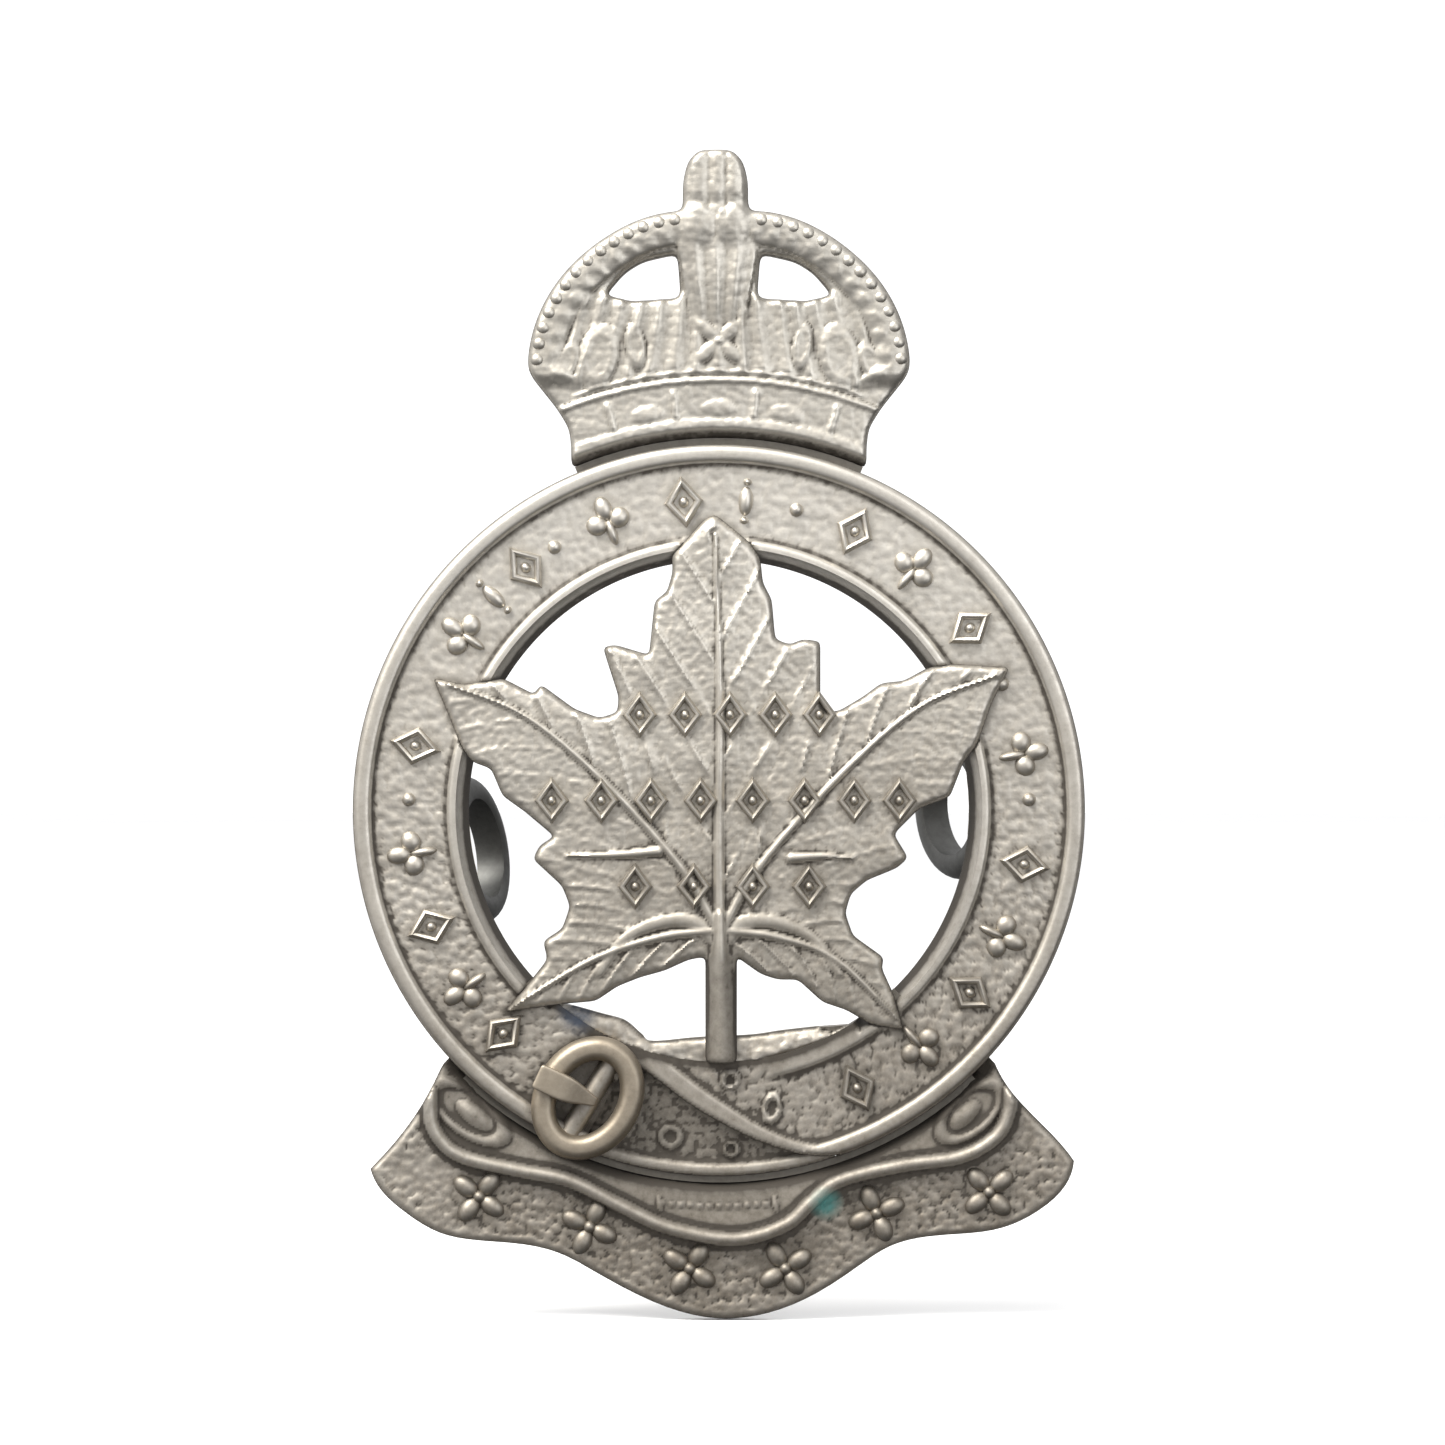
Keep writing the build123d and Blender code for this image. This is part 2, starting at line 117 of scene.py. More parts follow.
class Signal:
    """A shader socket that Python's operators work on, one Math node for each."""

    def __init__(self, bench: "NodeBench", socket: bpy.types.NodeSocket) -> None:
        """Wrap a socket.

        Args:
            bench: the bench that makes further nodes.
            socket: the output socket that carries the value.
        """
        self.bench = bench
        self.socket = socket

    def maths(self, operation: str, *values: "Signal | float") -> "Signal":
        """Run one Math node.

        Args:
            operation: the Math node's operation.
            values: its inputs, in order.

        Returns:
            The node's value.
        """
        inputs = {i: value for i, value in enumerate(values)}
        return self.bench.signal("ShaderNodeMath", {"operation": operation}, inputs)

    def __add__(self, other: "Signal | float") -> "Signal":
        """Return self + other."""
        return self.maths("ADD", self, other)

    def __sub__(self, other: "Signal | float") -> "Signal":
        """Return self - other."""
        return self.maths("SUBTRACT", self, other)

    def __rsub__(self, other: float) -> "Signal":
        """Return other - self."""
        return self.maths("SUBTRACT", other, self)

    def __mul__(self, other: "Signal | float") -> "Signal":
        """Return self * other."""
        return self.maths("MULTIPLY", self, other)

    def __truediv__(self, other: "Signal | float") -> "Signal":
        """Return self / other."""
        return self.maths("DIVIDE", self, other)

    def __rtruediv__(self, other: float) -> "Signal":
        """Return other / self."""
        return self.maths("DIVIDE", other, self)

    __radd__ = __add__
    __rmul__ = __mul__

    def held(self) -> "Signal":
        """Return self kept between 0 and 1."""
        return self.maths("MINIMUM", self.maths("MAXIMUM", self, 0.0), 1.0)

    def step(self, start: float, end: float) -> "Signal":
        """Return a straight ramp from 0 at start to 1 at end, held outside them."""
        return ((self - start) / (end - start)).held()


class NodeBench:
    """Makes and wires the nodes of one material or of the room."""

    def __init__(self, owner: bpy.types.Material | bpy.types.World) -> None:
        """Clear the owner's nodes.

        Args:
            owner: the material or world to work on.
        """
        self.owner = owner
        owner.use_nodes = True
        self.tree = owner.node_tree
        self.tree.nodes.clear()

    @classmethod
    def for_material(cls, name: str) -> "NodeBench":
        """Open a new material."""
        return cls(bpy.data.materials.new(name))

    def node(self, kind: str, settings: dict, inputs: dict) -> bpy.types.Node:
        """Make any node.

        Args:
            kind: the node's type.
            settings: its properties, set before its sockets.
            inputs: socket name or number to a value, a Signal or a socket.

        Returns:
            The node.
        """
        node = self.tree.nodes.new(kind)
        for name, value in settings.items():
            setattr(node, name, value)
        for name, value in inputs.items():
            target = node.inputs[name]
            source = value.socket if isinstance(value, Signal) else value
            if isinstance(source, bpy.types.NodeSocket):
                self.tree.links.new(source, target)
            else:
                target.default_value = source
        return node

    def vector(self, operation: str, first: Signal, second: Sequence[float],
               output: int | str = 0) -> Signal:
        """Run one Vector Math node.

        Args:
            operation: the node's operation.
            first: its first vector.
            second: its second vector, three numbers.
            output: which output to return.

        Returns:
            That output.
        """
        return self.signal("ShaderNodeVectorMath", {"operation": operation}, {0: first, 1: second}, output)

    def signal(self, kind: str, settings: dict, inputs: dict, output: int | str = 0) -> Signal:
        """Make a node and return one of its outputs.

        Args:
            kind: the node's type.
            settings: its properties.
            inputs: its sockets' values.
            output: which output to return.

        Returns:
            That output.
        """
        return Signal(self, self.node(kind, settings, inputs).outputs[output])

    def place(self) -> Signal:
        """Return the object coordinates in millimetres."""
        metres = self.signal("ShaderNodeTexCoord", {}, {}, "Object")
        return self.signal("ShaderNodeMapping", {}, {"Vector": metres, "Scale": (1 / MM, 1 / MM, 1 / MM)})

    def noise(self, place: Signal, scale: float, detail: float = 3.0, roughness: float = 0.5) -> Signal:
        """Return a noise of 0 to 1 about an even middle.

        Args:
            place: coordinates in millimetres.
            scale: patches to the millimetre.
            detail: octaves.
            roughness: how much the finer octaves count.

        Returns:
            The noise.
        """
        inputs = {"Vector": place, "Scale": scale, "Detail": detail, "Roughness": roughness}
        return self.signal("ShaderNodeTexNoise", {}, inputs)

    def attribute(self, name: str) -> Signal:
        """Return a number painted on the piece's points."""
        return self.signal("ShaderNodeAttribute", {"attribute_name": name}, {}, "Fac")

    def blend(self, amount: Signal, first: Signal | Colour, second: Signal | Colour) -> Signal:
        """Mix two colours.

        Args:
            amount: 0 for the first, 1 for the second.
            first: the first colour.
            second: the second colour.

        Returns:
            The mixed colour.
        """
        inputs = {"Factor": amount, 6: first, 7: second}
        return self.signal("ShaderNodeMix", {"data_type": "RGBA"}, inputs, 2)

    def finish(self, shader: dict) -> bpy.types.Material:
        """Close the material with one Principled shader.

        Args:
            shader: the shader's sockets.

        Returns:
            The material.
        """
        surface = self.node("ShaderNodeBsdfPrincipled", {}, shader)
        self.node("ShaderNodeOutputMaterial", {}, {"Surface": surface.outputs[0]})
        return self.owner


def shade(red: float, green: float, blue: float) -> Colour:
    """Return an opaque colour."""
    return (red, green, blue, 1.0)


@dataclass(frozen=True)
class DarkPatch:
    """A small dark patch at one place in the badge's plane, on the front and the back alike; the verdigris is
    a stain and the lobe patch is painted shadow.
    """

    place: tuple[float, float]
    reach: float
    tint: Colour

    def amount(self, bench: NodeBench, flat: Signal, specks: Signal) -> Signal:
        """Return 0 away from the patch and up to 1 in it.

        Args:
            bench: the bench.
            flat: coordinates in millimetres, with no depth.
            specks: a fine noise that breaks the patch's edge.

        Returns:
            The patch's strength.
        """
        apart = bench.vector("DISTANCE", flat, (self.place[0], 0.0, self.place[1]), "Value")
        return ((1.0 - apart.step(0.35 * self.reach, self.reach)) * (0.25 + specks * 1.1)).held()


VERDIGRIS = DarkPatch((4.75, -17.45), 0.85, shade(0.03, 0.13, 0.12))
# Painted shadow under the leaf's lower left lobe, where it stands over the strap.
LOBE_SHADOW = DarkPatch((-6.3, -9.05), 1.1, shade(0.02, 0.03, 0.05))


@dataclass(frozen=True)
class AgedMetal:
    """A worn metal, nickel silver unless told otherwise: bright where high, tarnished in patches, soiled and
    darkened by painted shade where low, and darkened by painted shade towards its foot.
    """

    name: str
    bright: Colour = shade(0.66, 0.625, 0.56)
    dull: Colour = shade(0.235, 0.207, 0.17)
    dirt_and_shade: Colour = shade(0.045, 0.038, 0.030)
    smooth: float = 0.44
    rough: float = 0.68
    grain_depth: float = 0.15
    foot_shading: float = 0.72
    dark_patches: tuple[DarkPatch, ...] = ()

    def make(self) -> bpy.types.Material:
        """Make the finish's material.

        Returns:
            The material.
        """
        bench = NodeBench.for_material(self.name)
        place = bench.place()
        patches = bench.noise(place, 0.16, 4.0, 0.6)
        specks = bench.noise(place, 2.2, 5.0, 0.65)
        fine = bench.noise(place, 9.0, 3.0, 0.6)
        # low carries soiling and painted shade in recesses; high carries wear on raised places.
        low = bench.attribute("low")
        high = bench.attribute("high")
        # Painted shade: the metal darkens towards the badge's foot.
        foot = self.shade_toward_foot(bench, place) * self.foot_shading
        grime_and_shade = low * (0.7 + specks * 0.6 + foot * 0.3)
        dirt_and_shade = (grime_and_shade + specks.step(0.62, 0.8) * (0.1 + foot * 0.3)).held()
        mottle = patches.step(0.38, 0.66) * 0.16 + specks.step(0.4, 0.7) * 0.24
        tarnish_and_shade = (foot + mottle - high * 0.12 + 0.03).held()
        colour = bench.blend(tarnish_and_shade, self.bright, self.dull)
        colour = bench.blend(dirt_and_shade, colour, self.dirt_and_shade)
        metal = 1.0 - dirt_and_shade * 0.55
        flat = bench.vector("MULTIPLY", place, (1.0, 0.0, 1.0))
        for dark_patch in self.dark_patches:
            amount = dark_patch.amount(bench, flat, specks)
            colour = bench.blend(amount, colour, dark_patch.tint)
            metal = metal * (1.0 - amount * 0.8)
        roughness = self.smooth + dirt_and_shade * (self.rough - self.smooth) + tarnish_and_shade * 0.14 + (fine - 0.5) * 0.16
        scratches = bench.noise(self.brushed(bench, place), 3.0, 2.0, 0.5)
        bump = bench.signal("ShaderNodeBump", {}, {
            "Height": fine * 0.55 + scratches * 0.25 + specks * 0.5, "Strength": self.grain_depth,
            "Distance": 0.05 * MM})
        return bench.finish({"Base Color": colour, "Metallic": metal, "Roughness": roughness.held(),
                             "Normal": bump})

    @staticmethod
    def shade_toward_foot(bench: NodeBench, place: Signal) -> Signal:
        """Return 0 at the badge's upper left and 1 at its foot: painted shade that darkens the metal towards
        the foot.
        """
        return bench.vector("DOT_PRODUCT", place, (-0.17, 0.0, 1.0), "Value").step(13.0, -19.0)

    @staticmethod
    def brushed(bench: NodeBench, place: Signal) -> Signal:
        """Return the coordinates drawn out along one slanting way, for polishing marks."""
        inputs = {"Vector": place, "Rotation": (0.0, 0.6, 0.0), "Scale": (0.25, 1.0, 3.2)}
        return bench.signal("ShaderNodeMapping", {}, inputs)


FINISHES = (
    AgedMetal("struck_nickel_silver", dark_patches=(VERDIGRIS, LOBE_SHADOW)),
    # The crown's and the leaf's finishes are the same metal made darker: painted shade on those pieces.
    AgedMetal("crown_nickel_silver_shaded", bright=shade(0.565, 0.535, 0.475)),
    AgedMetal("leaf_nickel_silver_shaded", bright=shade(0.6, 0.566, 0.502)),
    AgedMetal("buckle_nickel_silver", bright=shade(0.55, 0.48, 0.38), dull=shade(0.25, 0.213, 0.165)),
    AgedMetal("tarnished_lug_wire", bright=shade(0.2, 0.2, 0.19), dull=shade(0.07, 0.07, 0.065),
              grain_depth=0.1, foot_shading=0.4),
    AgedMetal("soft_solder", bright=shade(0.2, 0.185, 0.16), dull=shade(0.09, 0.08, 0.065),
              smooth=0.5, grain_depth=0.3, foot_shading=0.3),
    AgedMetal("silver_braze", bright=shade(0.6, 0.5, 0.33), dull=shade(0.34, 0.27, 0.16),
              grain_depth=0.3, foot_shading=0.3))


@dataclass(frozen=True)
class PaleFloor:
    """A matt white table."""

    name: str = "pale_table"
    tone: float = 0.86

    def make(self) -> bpy.types.Material:
        """Make the finish's material.

        Returns:
            The material.
        """
        bench = NodeBench.for_material(self.name)
        mottle = bench.noise(bench.place(), 0.02, 2.0, 0.5)
        colour = bench.blend(mottle, shade(self.tone, self.tone, self.tone), shade(0.9, 0.9, 0.9))
        return bench.finish({"Base Color": colour, "Roughness": 0.7})


# ---------------------------------------------------------------- shapes in the plane


def rise(value: np.ndarray, start: float, end: float) -> np.ndarray:
    """Return a soft step from 0 at start to 1 at end."""
    share = np.clip((value - start) / (end - start), 0.0, 1.0)
    return share * share * (3.0 - 2.0 * share)


def rolled(inside: np.ndarray, radius: float) -> np.ndarray:
    """Return how far a rounded edge has fallen, at a distance inside it."""
    short = np.clip(radius - np.maximum(inside, 0.0), 0.0, radius)
    return radius - np.sqrt(radius * radius - short * short)


def oval(x: np.ndarray, z: np.ndarray, centre: tuple[float, float], size: tuple[float, float],
         turn: float = 0.0) -> np.ndarray:
    """Return 0 at an oval's middle, 1 on its edge and more outside.

    Args:
        x: places to the right.
        z: places up.
        centre: the oval's middle.
        size: half its length along its own x and z.
        turn: degrees anticlockwise.

    Returns:
        The share of the way out.
    """
    cos, sin = math.cos(math.radians(turn)), math.sin(math.radians(turn))
    along = (x - centre[0]) * cos + (z - centre[1]) * sin
    across = (z - centre[1]) * cos - (x - centre[0]) * sin
    return np.hypot(along / size[0], across / size[1])


def boss(share: np.ndarray) -> np.ndarray:
    """Return a round-topped boss of height 1 from shares of the way out."""
    return np.sqrt(np.clip(1.0 - share * share, 0.0, 1.0))


@dataclass
class Stroke:
    """A line with a width that changes along it, such as a vein or a fold."""

    points: Line
    start: float
    end: float
    height: float = 0.2
    sharpness: float = 1.0

    def measure(self, x: np.ndarray, z: np.ndarray) -> tuple[np.ndarray, np.ndarray, np.ndarray]:
        """Measure places against the line.

        Args:
            x: places to the right.
            z: places up.

        Returns:
            The distance from the line, the share of its length at the nearest place, and whether the place
            lies to the line's left.
        """
        points = np.array(self.points, float)
        steps = np.diff(points, axis=0)
        lengths = np.hypot(steps[:, 0], steps[:, 1])
        before = np.concatenate([[0.0], np.cumsum(lengths)])
        near = np.full(x.shape, 1e9)
        share = np.zeros(x.shape)
        left = np.zeros(x.shape, bool)
        for i, step in enumerate(steps):
            along = ((x - points[i, 0]) * step[0] + (z - points[i, 1]) * step[1]) / lengths[i] ** 2
            along = np.clip(along, 0.0, 1.0)
            apart = np.hypot(x - points[i, 0] - along * step[0], z - points[i, 1] - along * step[1])
            closer = apart < near
            near = np.where(closer, apart, near)
            share = np.where(closer, (before[i] + along * lengths[i]) / before[-1], share)
            left = np.where(closer, step[0] * (z - points[i, 1]) > step[1] * (x - points[i, 0]), left)
        return near, share, left

    def raised(self, x: np.ndarray, z: np.ndarray) -> np.ndarray:
        """Return the stroke's height at places.

        Args:
            x: places to the right.
            z: places up.

        Returns:
            The heights.
        """
        near, share, _ = self.measure(x, z)
        half = self.start + (self.end - self.start) * share
        lift = self.height * (0.45 + 0.55 * half / max(self.start, self.end))
        return lift * boss(near / half) ** self.sharpness


def curve_through(points: Line, steps: int = 8) -> np.ndarray:
    """Return a smooth line through points.

    Args:
        points: the places that it passes.
        steps: pieces to each stretch.

    Returns:
        The line's points.
    """
    p = np.array(points, float)
    p = np.vstack([2 * p[0] - p[1], p, 2 * p[-1] - p[-2]])
    shares = np.linspace(0.0, 1.0, steps, endpoint=False)[:, None]
    made = []
    for a, b, c, d in zip(p[:-3], p[1:-2], p[2:-1], p[3:]):
        made.append(0.5 * (2 * b + (c - a) * shares + (2 * a - 5 * b + 4 * c - d) * shares ** 2
                           + (3 * b - a - 3 * c + d) * shares ** 3))
    return np.vstack([*made, p[-2:-1]])


class Outline:
    """Closed lines in the badge's plane, outer edges and holes alike."""

    CHUNK = 4096

    def __init__(self, starts: np.ndarray, ends: np.ndarray) -> None:
        """Hold the lines as separate edges.

        Args:
            starts: one end of each edge.
            ends: the other end.
        """
        self.starts = starts
        self.ends = ends

    @classmethod
    def of_back(cls, node: str, depth: float) -> "Outline":
        """Read the outline of a CAD node's flat back.

        Args:
            node: the node's name.
            depth: how far forward its back lies.

        Returns:
            The outline.
        """
        copy = bmesh.new()
        copy.from_mesh(frame["nodes"][node].data)
        bmesh.ops.remove_doubles(copy, verts=copy.verts, dist=0.002 * MM)
        level = -depth * MM
        rear = (f for f in copy.faces if f.normal.y > 0.99)
        flat = {f for f in rear if abs(f.calc_center_median().y - level) < 0.01 * MM}
        rim = [e for e in copy.edges if sum(f in flat for f in e.link_faces) == 1]
        ends = np.array([[[v.co.x / MM, v.co.z / MM] for v in e.verts] for e in rim])
        copy.free()
        return cls(ends[:, 0], ends[:, 1])

    @classmethod
    def of_loop(cls, points: np.ndarray) -> "Outline":
        """Return the outline of one closed loop of points."""
        return cls(points, np.roll(points, -1, axis=0))

    def softened(self, reach: float, step: float = 0.1) -> "Outline":
        """Return the outline with its corners rounded.

        Args:
            reach: how far the rounding reaches from a corner.
            step: the new points' spacing.

        Returns:
            The rounded outline.
        """
        loops = []
        after: dict[tuple, list] = {}
        for a, b in zip(self.starts, self.ends):
            one, two = tuple(np.round(a, 3)), tuple(np.round(b, 3))
            after.setdefault(one, []).append(two)
            after.setdefault(two, []).append(one)
        while after:
            loop = [next(iter(after))]
            while loop[-1] in after:
                onward = [p for p in after.pop(loop[-1]) if p in after]
                loop.extend(onward[:1])
            line = np.array([*loop, loop[0]])
            run = np.concatenate([[0.0], np.cumsum(np.hypot(*np.diff(line, axis=0).T))])
            at = np.linspace(0.0, run[-1], max(12, int(run[-1] / step)), endpoint=False)
            points = np.column_stack([np.interp(at, run, line[:, 0]), np.interp(at, run, line[:, 1])])
            for _ in range(int(2 * (reach / step) ** 2)):
                points = 0.5 * points + 0.25 * (np.roll(points, 1, axis=0) + np.roll(points, -1, axis=0))
            loops.append(points)
        return Outline(np.vstack(loops), np.vstack([np.roll(loop, -1, axis=0) for loop in loops]))

    def part(self, keep: Callable[[np.ndarray], np.ndarray]) -> "Outline":
        """Return the edges whose middles pass a test."""
        chosen = keep((self.starts + self.ends) / 2)
        return Outline(self.starts[chosen], self.ends[chosen])

    def nearest(self, places: np.ndarray) -> tuple[np.ndarray, np.ndarray]:
        """Find the nearest places on the outline.

        Args:
            places: rows of x and z.

        Returns:
            The signed distances, positive inside, and the nearest places.
        """
        span = self.ends - self.starts
        square = np.maximum((span ** 2).sum(axis=1), 1e-12)
        signed, found = [], []
        for first in range(0, len(places), self.CHUNK):
            rows = places[first:first + self.CHUNK, None, :]
            share = np.clip(((rows - self.starts) * span).sum(axis=2) / square, 0.0, 1.0)
            spots = self.starts + share[..., None] * span
            apart = ((rows - spots) ** 2).sum(axis=2)
            best = apart.argmin(axis=1)
            row = np.arange(len(best))
            low, high = self.starts[:, 1], self.ends[:, 1]
            crosses = (low > rows[..., 1]) != (high > rows[..., 1])
            level = np.where(high == low, 1.0, high - low)
            meets = self.starts[:, 0] + (rows[..., 1] - low) * span[:, 0] / level
            inside = (crosses & (rows[..., 0] < meets)).sum(axis=1) % 2 == 1
            signed.append(np.sqrt(apart[row, best]) * np.where(inside, 1.0, -1.0))
            found.append(spots[row, best])
        return np.concatenate(signed), np.vstack(found)

    def inside(self, x: np.ndarray, z: np.ndarray) -> np.ndarray:
        """Return the distances inside the outline."""
        return self.nearest(np.column_stack([x, z]))[0]


class Grain:
    """Seeded random patterns in the plane."""

    TABLE = 64

    def __init__(self, seed: int, cell: float) -> None:
        """Fill the table.

        Args:
            seed: the seed.
            cell: the size of one bump.
        """
        self.cell = cell
        self.table = np.random.RandomState(seed).rand(self.TABLE, self.TABLE, 3)

    def pebbles(self, x: np.ndarray, z: np.ndarray) -> np.ndarray:
        """Return close-set bumps of 0 to 1, as a matting punch leaves them.

        Args:
            x: places to the right.
            z: places up.

        Returns:
            The bumps' heights.
        """
        u, v = x / self.cell, z / self.cell
        column, row = np.floor(u).astype(int), np.floor(v).astype(int)
        lift = np.zeros(x.shape)
        for i in (-1, 0, 1):
            for j in (-1, 0, 1):
                across, up, bulk = self.table[(column + i) % self.TABLE, (row + j) % self.TABLE].T
                apart = np.hypot(column + i + 0.1 + 0.8 * across - u, row + j + 0.1 + 0.8 * up - v)
                size = 0.48 + 0.3 * bulk
                lift = np.maximum(lift, boss(apart / size) * (0.55 + 0.45 * bulk))
        return lift

    def drift(self, x: np.ndarray, z: np.ndarray) -> np.ndarray:
        """Return a smooth unevenness of -1 to 1.

        Args:
            x: places to the right.
            z: places up.

        Returns:
            The unevenness.
        """
        u, v = x / self.cell, z / self.cell
        column, row = np.floor(u).astype(int), np.floor(v).astype(int)
        a, b = rise(u - column, 0.0, 1.0), rise(v - row, 0.0, 1.0)
        value = np.zeros(x.shape)
        for i, part in ((0, 1 - a), (1, a)):
            for j, other in ((0, 1 - b), (1, b)):
                value += part * other * self.table[(column + i) % self.TABLE, (row + j) % self.TABLE, 0]
        return 2.0 * value - 1.0


# ---------------------------------------------------------------- making pieces


def clear_selection() -> None:
    """Leave nothing selected or active."""
    bpy.ops.object.select_all(action="DESELECT")
    bpy.context.view_layer.objects.active = None


def pick(*things: bpy.types.Object) -> bpy.types.Object:
    """Select pieces alone, with the first one active.

    Args:
        things: the pieces.

    Returns:
        The first piece.
    """
    clear_selection()
    for thing in things:
        thing.select_set(True)
    bpy.context.view_layer.objects.active = things[0]
    return things[0]


def settle(thing: bpy.types.Object) -> bpy.types.Object:
    """Put a piece's place, turn and size into its mesh.

    Args:
        thing: the piece.

    Returns:
        The piece.
    """
    pick(thing)
    bpy.ops.object.transform_apply(location=True, rotation=True, scale=True)
    return thing


def apply_modifier(thing: bpy.types.Object, kind: str, **settings: object) -> None:
    """Add a modifier and apply it.

    Args:
        thing: the piece.
        kind: the modifier's type.
        settings: the modifier's values.
    """
    pick(thing)
    modifier = thing.modifiers.new(kind.lower(), kind)
    for name, value in settings.items():
        setattr(modifier, name, value)
    bpy.ops.object.modifier_apply(modifier=modifier.name)


def points_of(thing: bpy.types.Object) -> np.ndarray:
    """Return a piece's points in millimetres, one row each.

    Args:
        thing: the piece.

    Returns:
        The points.
    """
    flat = np.empty(len(thing.data.vertices) * 3, np.float32)
    thing.data.vertices.foreach_get("co", flat)
    return flat.reshape(-1, 3).astype(float) / MM


def move_points(thing: bpy.types.Object, points: np.ndarray) -> None:
    """Set a piece's points, in millimetres."""
    thing.data.vertices.foreach_set("co", (points * MM).astype(np.float32).ravel())
    thing.data.update()


def join(pieces: Sequence[bpy.types.Object], name: str) -> bpy.types.Object:
    """Join pieces into one object.

    Args:
        pieces: the pieces.
        name: the name of the whole.

    Returns:
        The whole.
    """
    whole = pick(*pieces)
    if len(pieces) > 1:
        bpy.ops.object.join()
    whole.name = whole.data.name = name
    return whole


def smooth_shade(thing: bpy.types.Object, angle: float = 50.0) -> None:
    """Shade a piece smoothly except over sharp edges."""
    pick(thing)
    bpy.ops.object.shade_smooth_by_angle(angle=math.radians(angle))


def dress(thing: bpy.types.Object, material: bpy.types.Material, slot: Slot, *nodes: str) -> None:
    """Give a piece its finish and its place in the assembly.

    Args:
        thing: the piece.
        material: its finish.
        slot: the record's slot for it; not used.
        nodes: the CAD nodes that it stands for.
    """
    thing.data.materials.clear()
    thing.data.materials.append(material)
    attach(thing, BODY)
    if nodes:
        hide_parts(*nodes)
    log.info("%s: %d faces", thing.name, len(thing.data.polygons))


def paint(thing: bpy.types.Object, name: str, values: np.ndarray) -> None:
    """Write one number to each point of a piece."""
    layer = thing.data.attributes.get(name) or thing.data.attributes.new(name, "FLOAT", "POINT")
    layer.data.foreach_set("value", np.clip(values, 0.0, 1.0).astype(np.float32))


# Rounds of smoothing that give a point's wide and near surroundings.
WIDE_ROUNDS = 18
NEAR_ROUNDS = 2


def paint_relief(thing: bpy.types.Object, depth: np.ndarray, behind: np.ndarray, extra_dirt_and_shade: np.ndarray) -> None:
    """Paint where soiling and painted shade lie and where wear shines, from how each point stands against its
    surroundings.

    Args:
        thing: the piece.
        depth: each point's depth, outward from the sheet.
        behind: which points are on the back, whose surroundings are the back alone.
        extra_dirt_and_shade: more soiling and painted shade, as where a piece stands on the surface.
    """
    ends = np.empty(len(thing.data.edges) * 2, np.int32)
    thing.data.edges.foreach_get("vertices", ends)
    ends = ends.reshape(-1, 2)
    ends = ends[behind[ends[:, 0]] == behind[ends[:, 1]]]
    count = np.bincount(ends.ravel(), minlength=len(depth)).clip(1)
    level, near = depth.copy(), depth.copy()
    for turn in range(WIDE_ROUNDS):
        total = np.bincount(ends[:, 0], level[ends[:, 1]], len(depth))
        total += np.bincount(ends[:, 1], level[ends[:, 0]], len(depth))
        level = 0.5 * level + 0.5 * total / count
        if turn + 1 == NEAR_ROUNDS:
            near = level.copy()
    # Soiling and painted shade where a point sits below its surroundings.
    low = rise(level - depth, 0.0, 0.085) * 0.75 + rise(near - depth, 0.0, 0.03) * 0.25
    paint(thing, "low", low + extra_dirt_and_shade)
    paint(thing, "high", rise(depth - level, 0.01, 0.09))


@dataclass
class StruckSheet:
    """A sheet of metal struck to a relief, its front and back each given as a depth over the plane."""

    name: str
    outline: Outline
    pitch: float
    front: DepthField
    back: DepthField
    # Soiling and painted shade added over the plane.
    dirt_and_shade: DepthField | None = None

    def blank(self) -> bpy.types.Object:
        """Cut the flat blank: a fine grid trimmed to the outline.

        Returns:
            The blank, facing the front.
        """
        ends = np.vstack([self.outline.starts, self.outline.ends])
        low, high = ends.min(axis=0) - self.pitch, ends.max(axis=0) + self.pitch
        cells = np.ceil((high - low) / self.pitch).astype(int)
        size = cells * self.pitch
        middle = low + size / 2
        clear_selection()
        bpy.ops.mesh.primitive_grid_add(
            x_subdivisions=int(cells[0]), y_subdivisions=int(cells[1]), size=1.0,
            location=(middle[0] * MM, 0.0, middle[1] * MM), rotation=(math.pi / 2, 0.0, 0.0))
        blank = bpy.context.active_object
        blank.name = blank.data.name = self.name
        blank.scale = (size[0] * MM, size[1] * MM, 1.0)
        settle(blank)
        trim(blank, self.outline)
        return blank

    def make(self) -> bpy.types.Object:
        """Cut the blank and strike it."""
        return strike(self.blank(), self.front, self.back, self.dirt_and_shade)


def face_middles(thing: bpy.types.Object) -> np.ndarray:
    """Return the middle of each face in the plane.

    Args:
        thing: the piece.

    Returns:
        Rows of x and z, in millimetres.
    """
    flat = np.empty(len(thing.data.polygons) * 3, np.float32)
    thing.data.polygons.foreach_get("center", flat)
    return flat.reshape(-1, 3)[:, (0, 2)].astype(float) / MM


def edge_points(thing: bpy.types.Object) -> np.ndarray:
    """Return the numbers of the points on a sheet's open edge.

    Args:
        thing: the piece.

    Returns:
        The points' numbers.
    """
    used = np.empty(len(thing.data.loops), np.int32)
    thing.data.loops.foreach_get("edge_index", used)
    ends = np.empty(len(thing.data.edges) * 2, np.int32)
    thing.data.edges.foreach_get("vertices", ends)
    open_edges = np.bincount(used, minlength=len(thing.data.edges)) == 1
    return np.unique(ends.reshape(-1, 2)[open_edges])


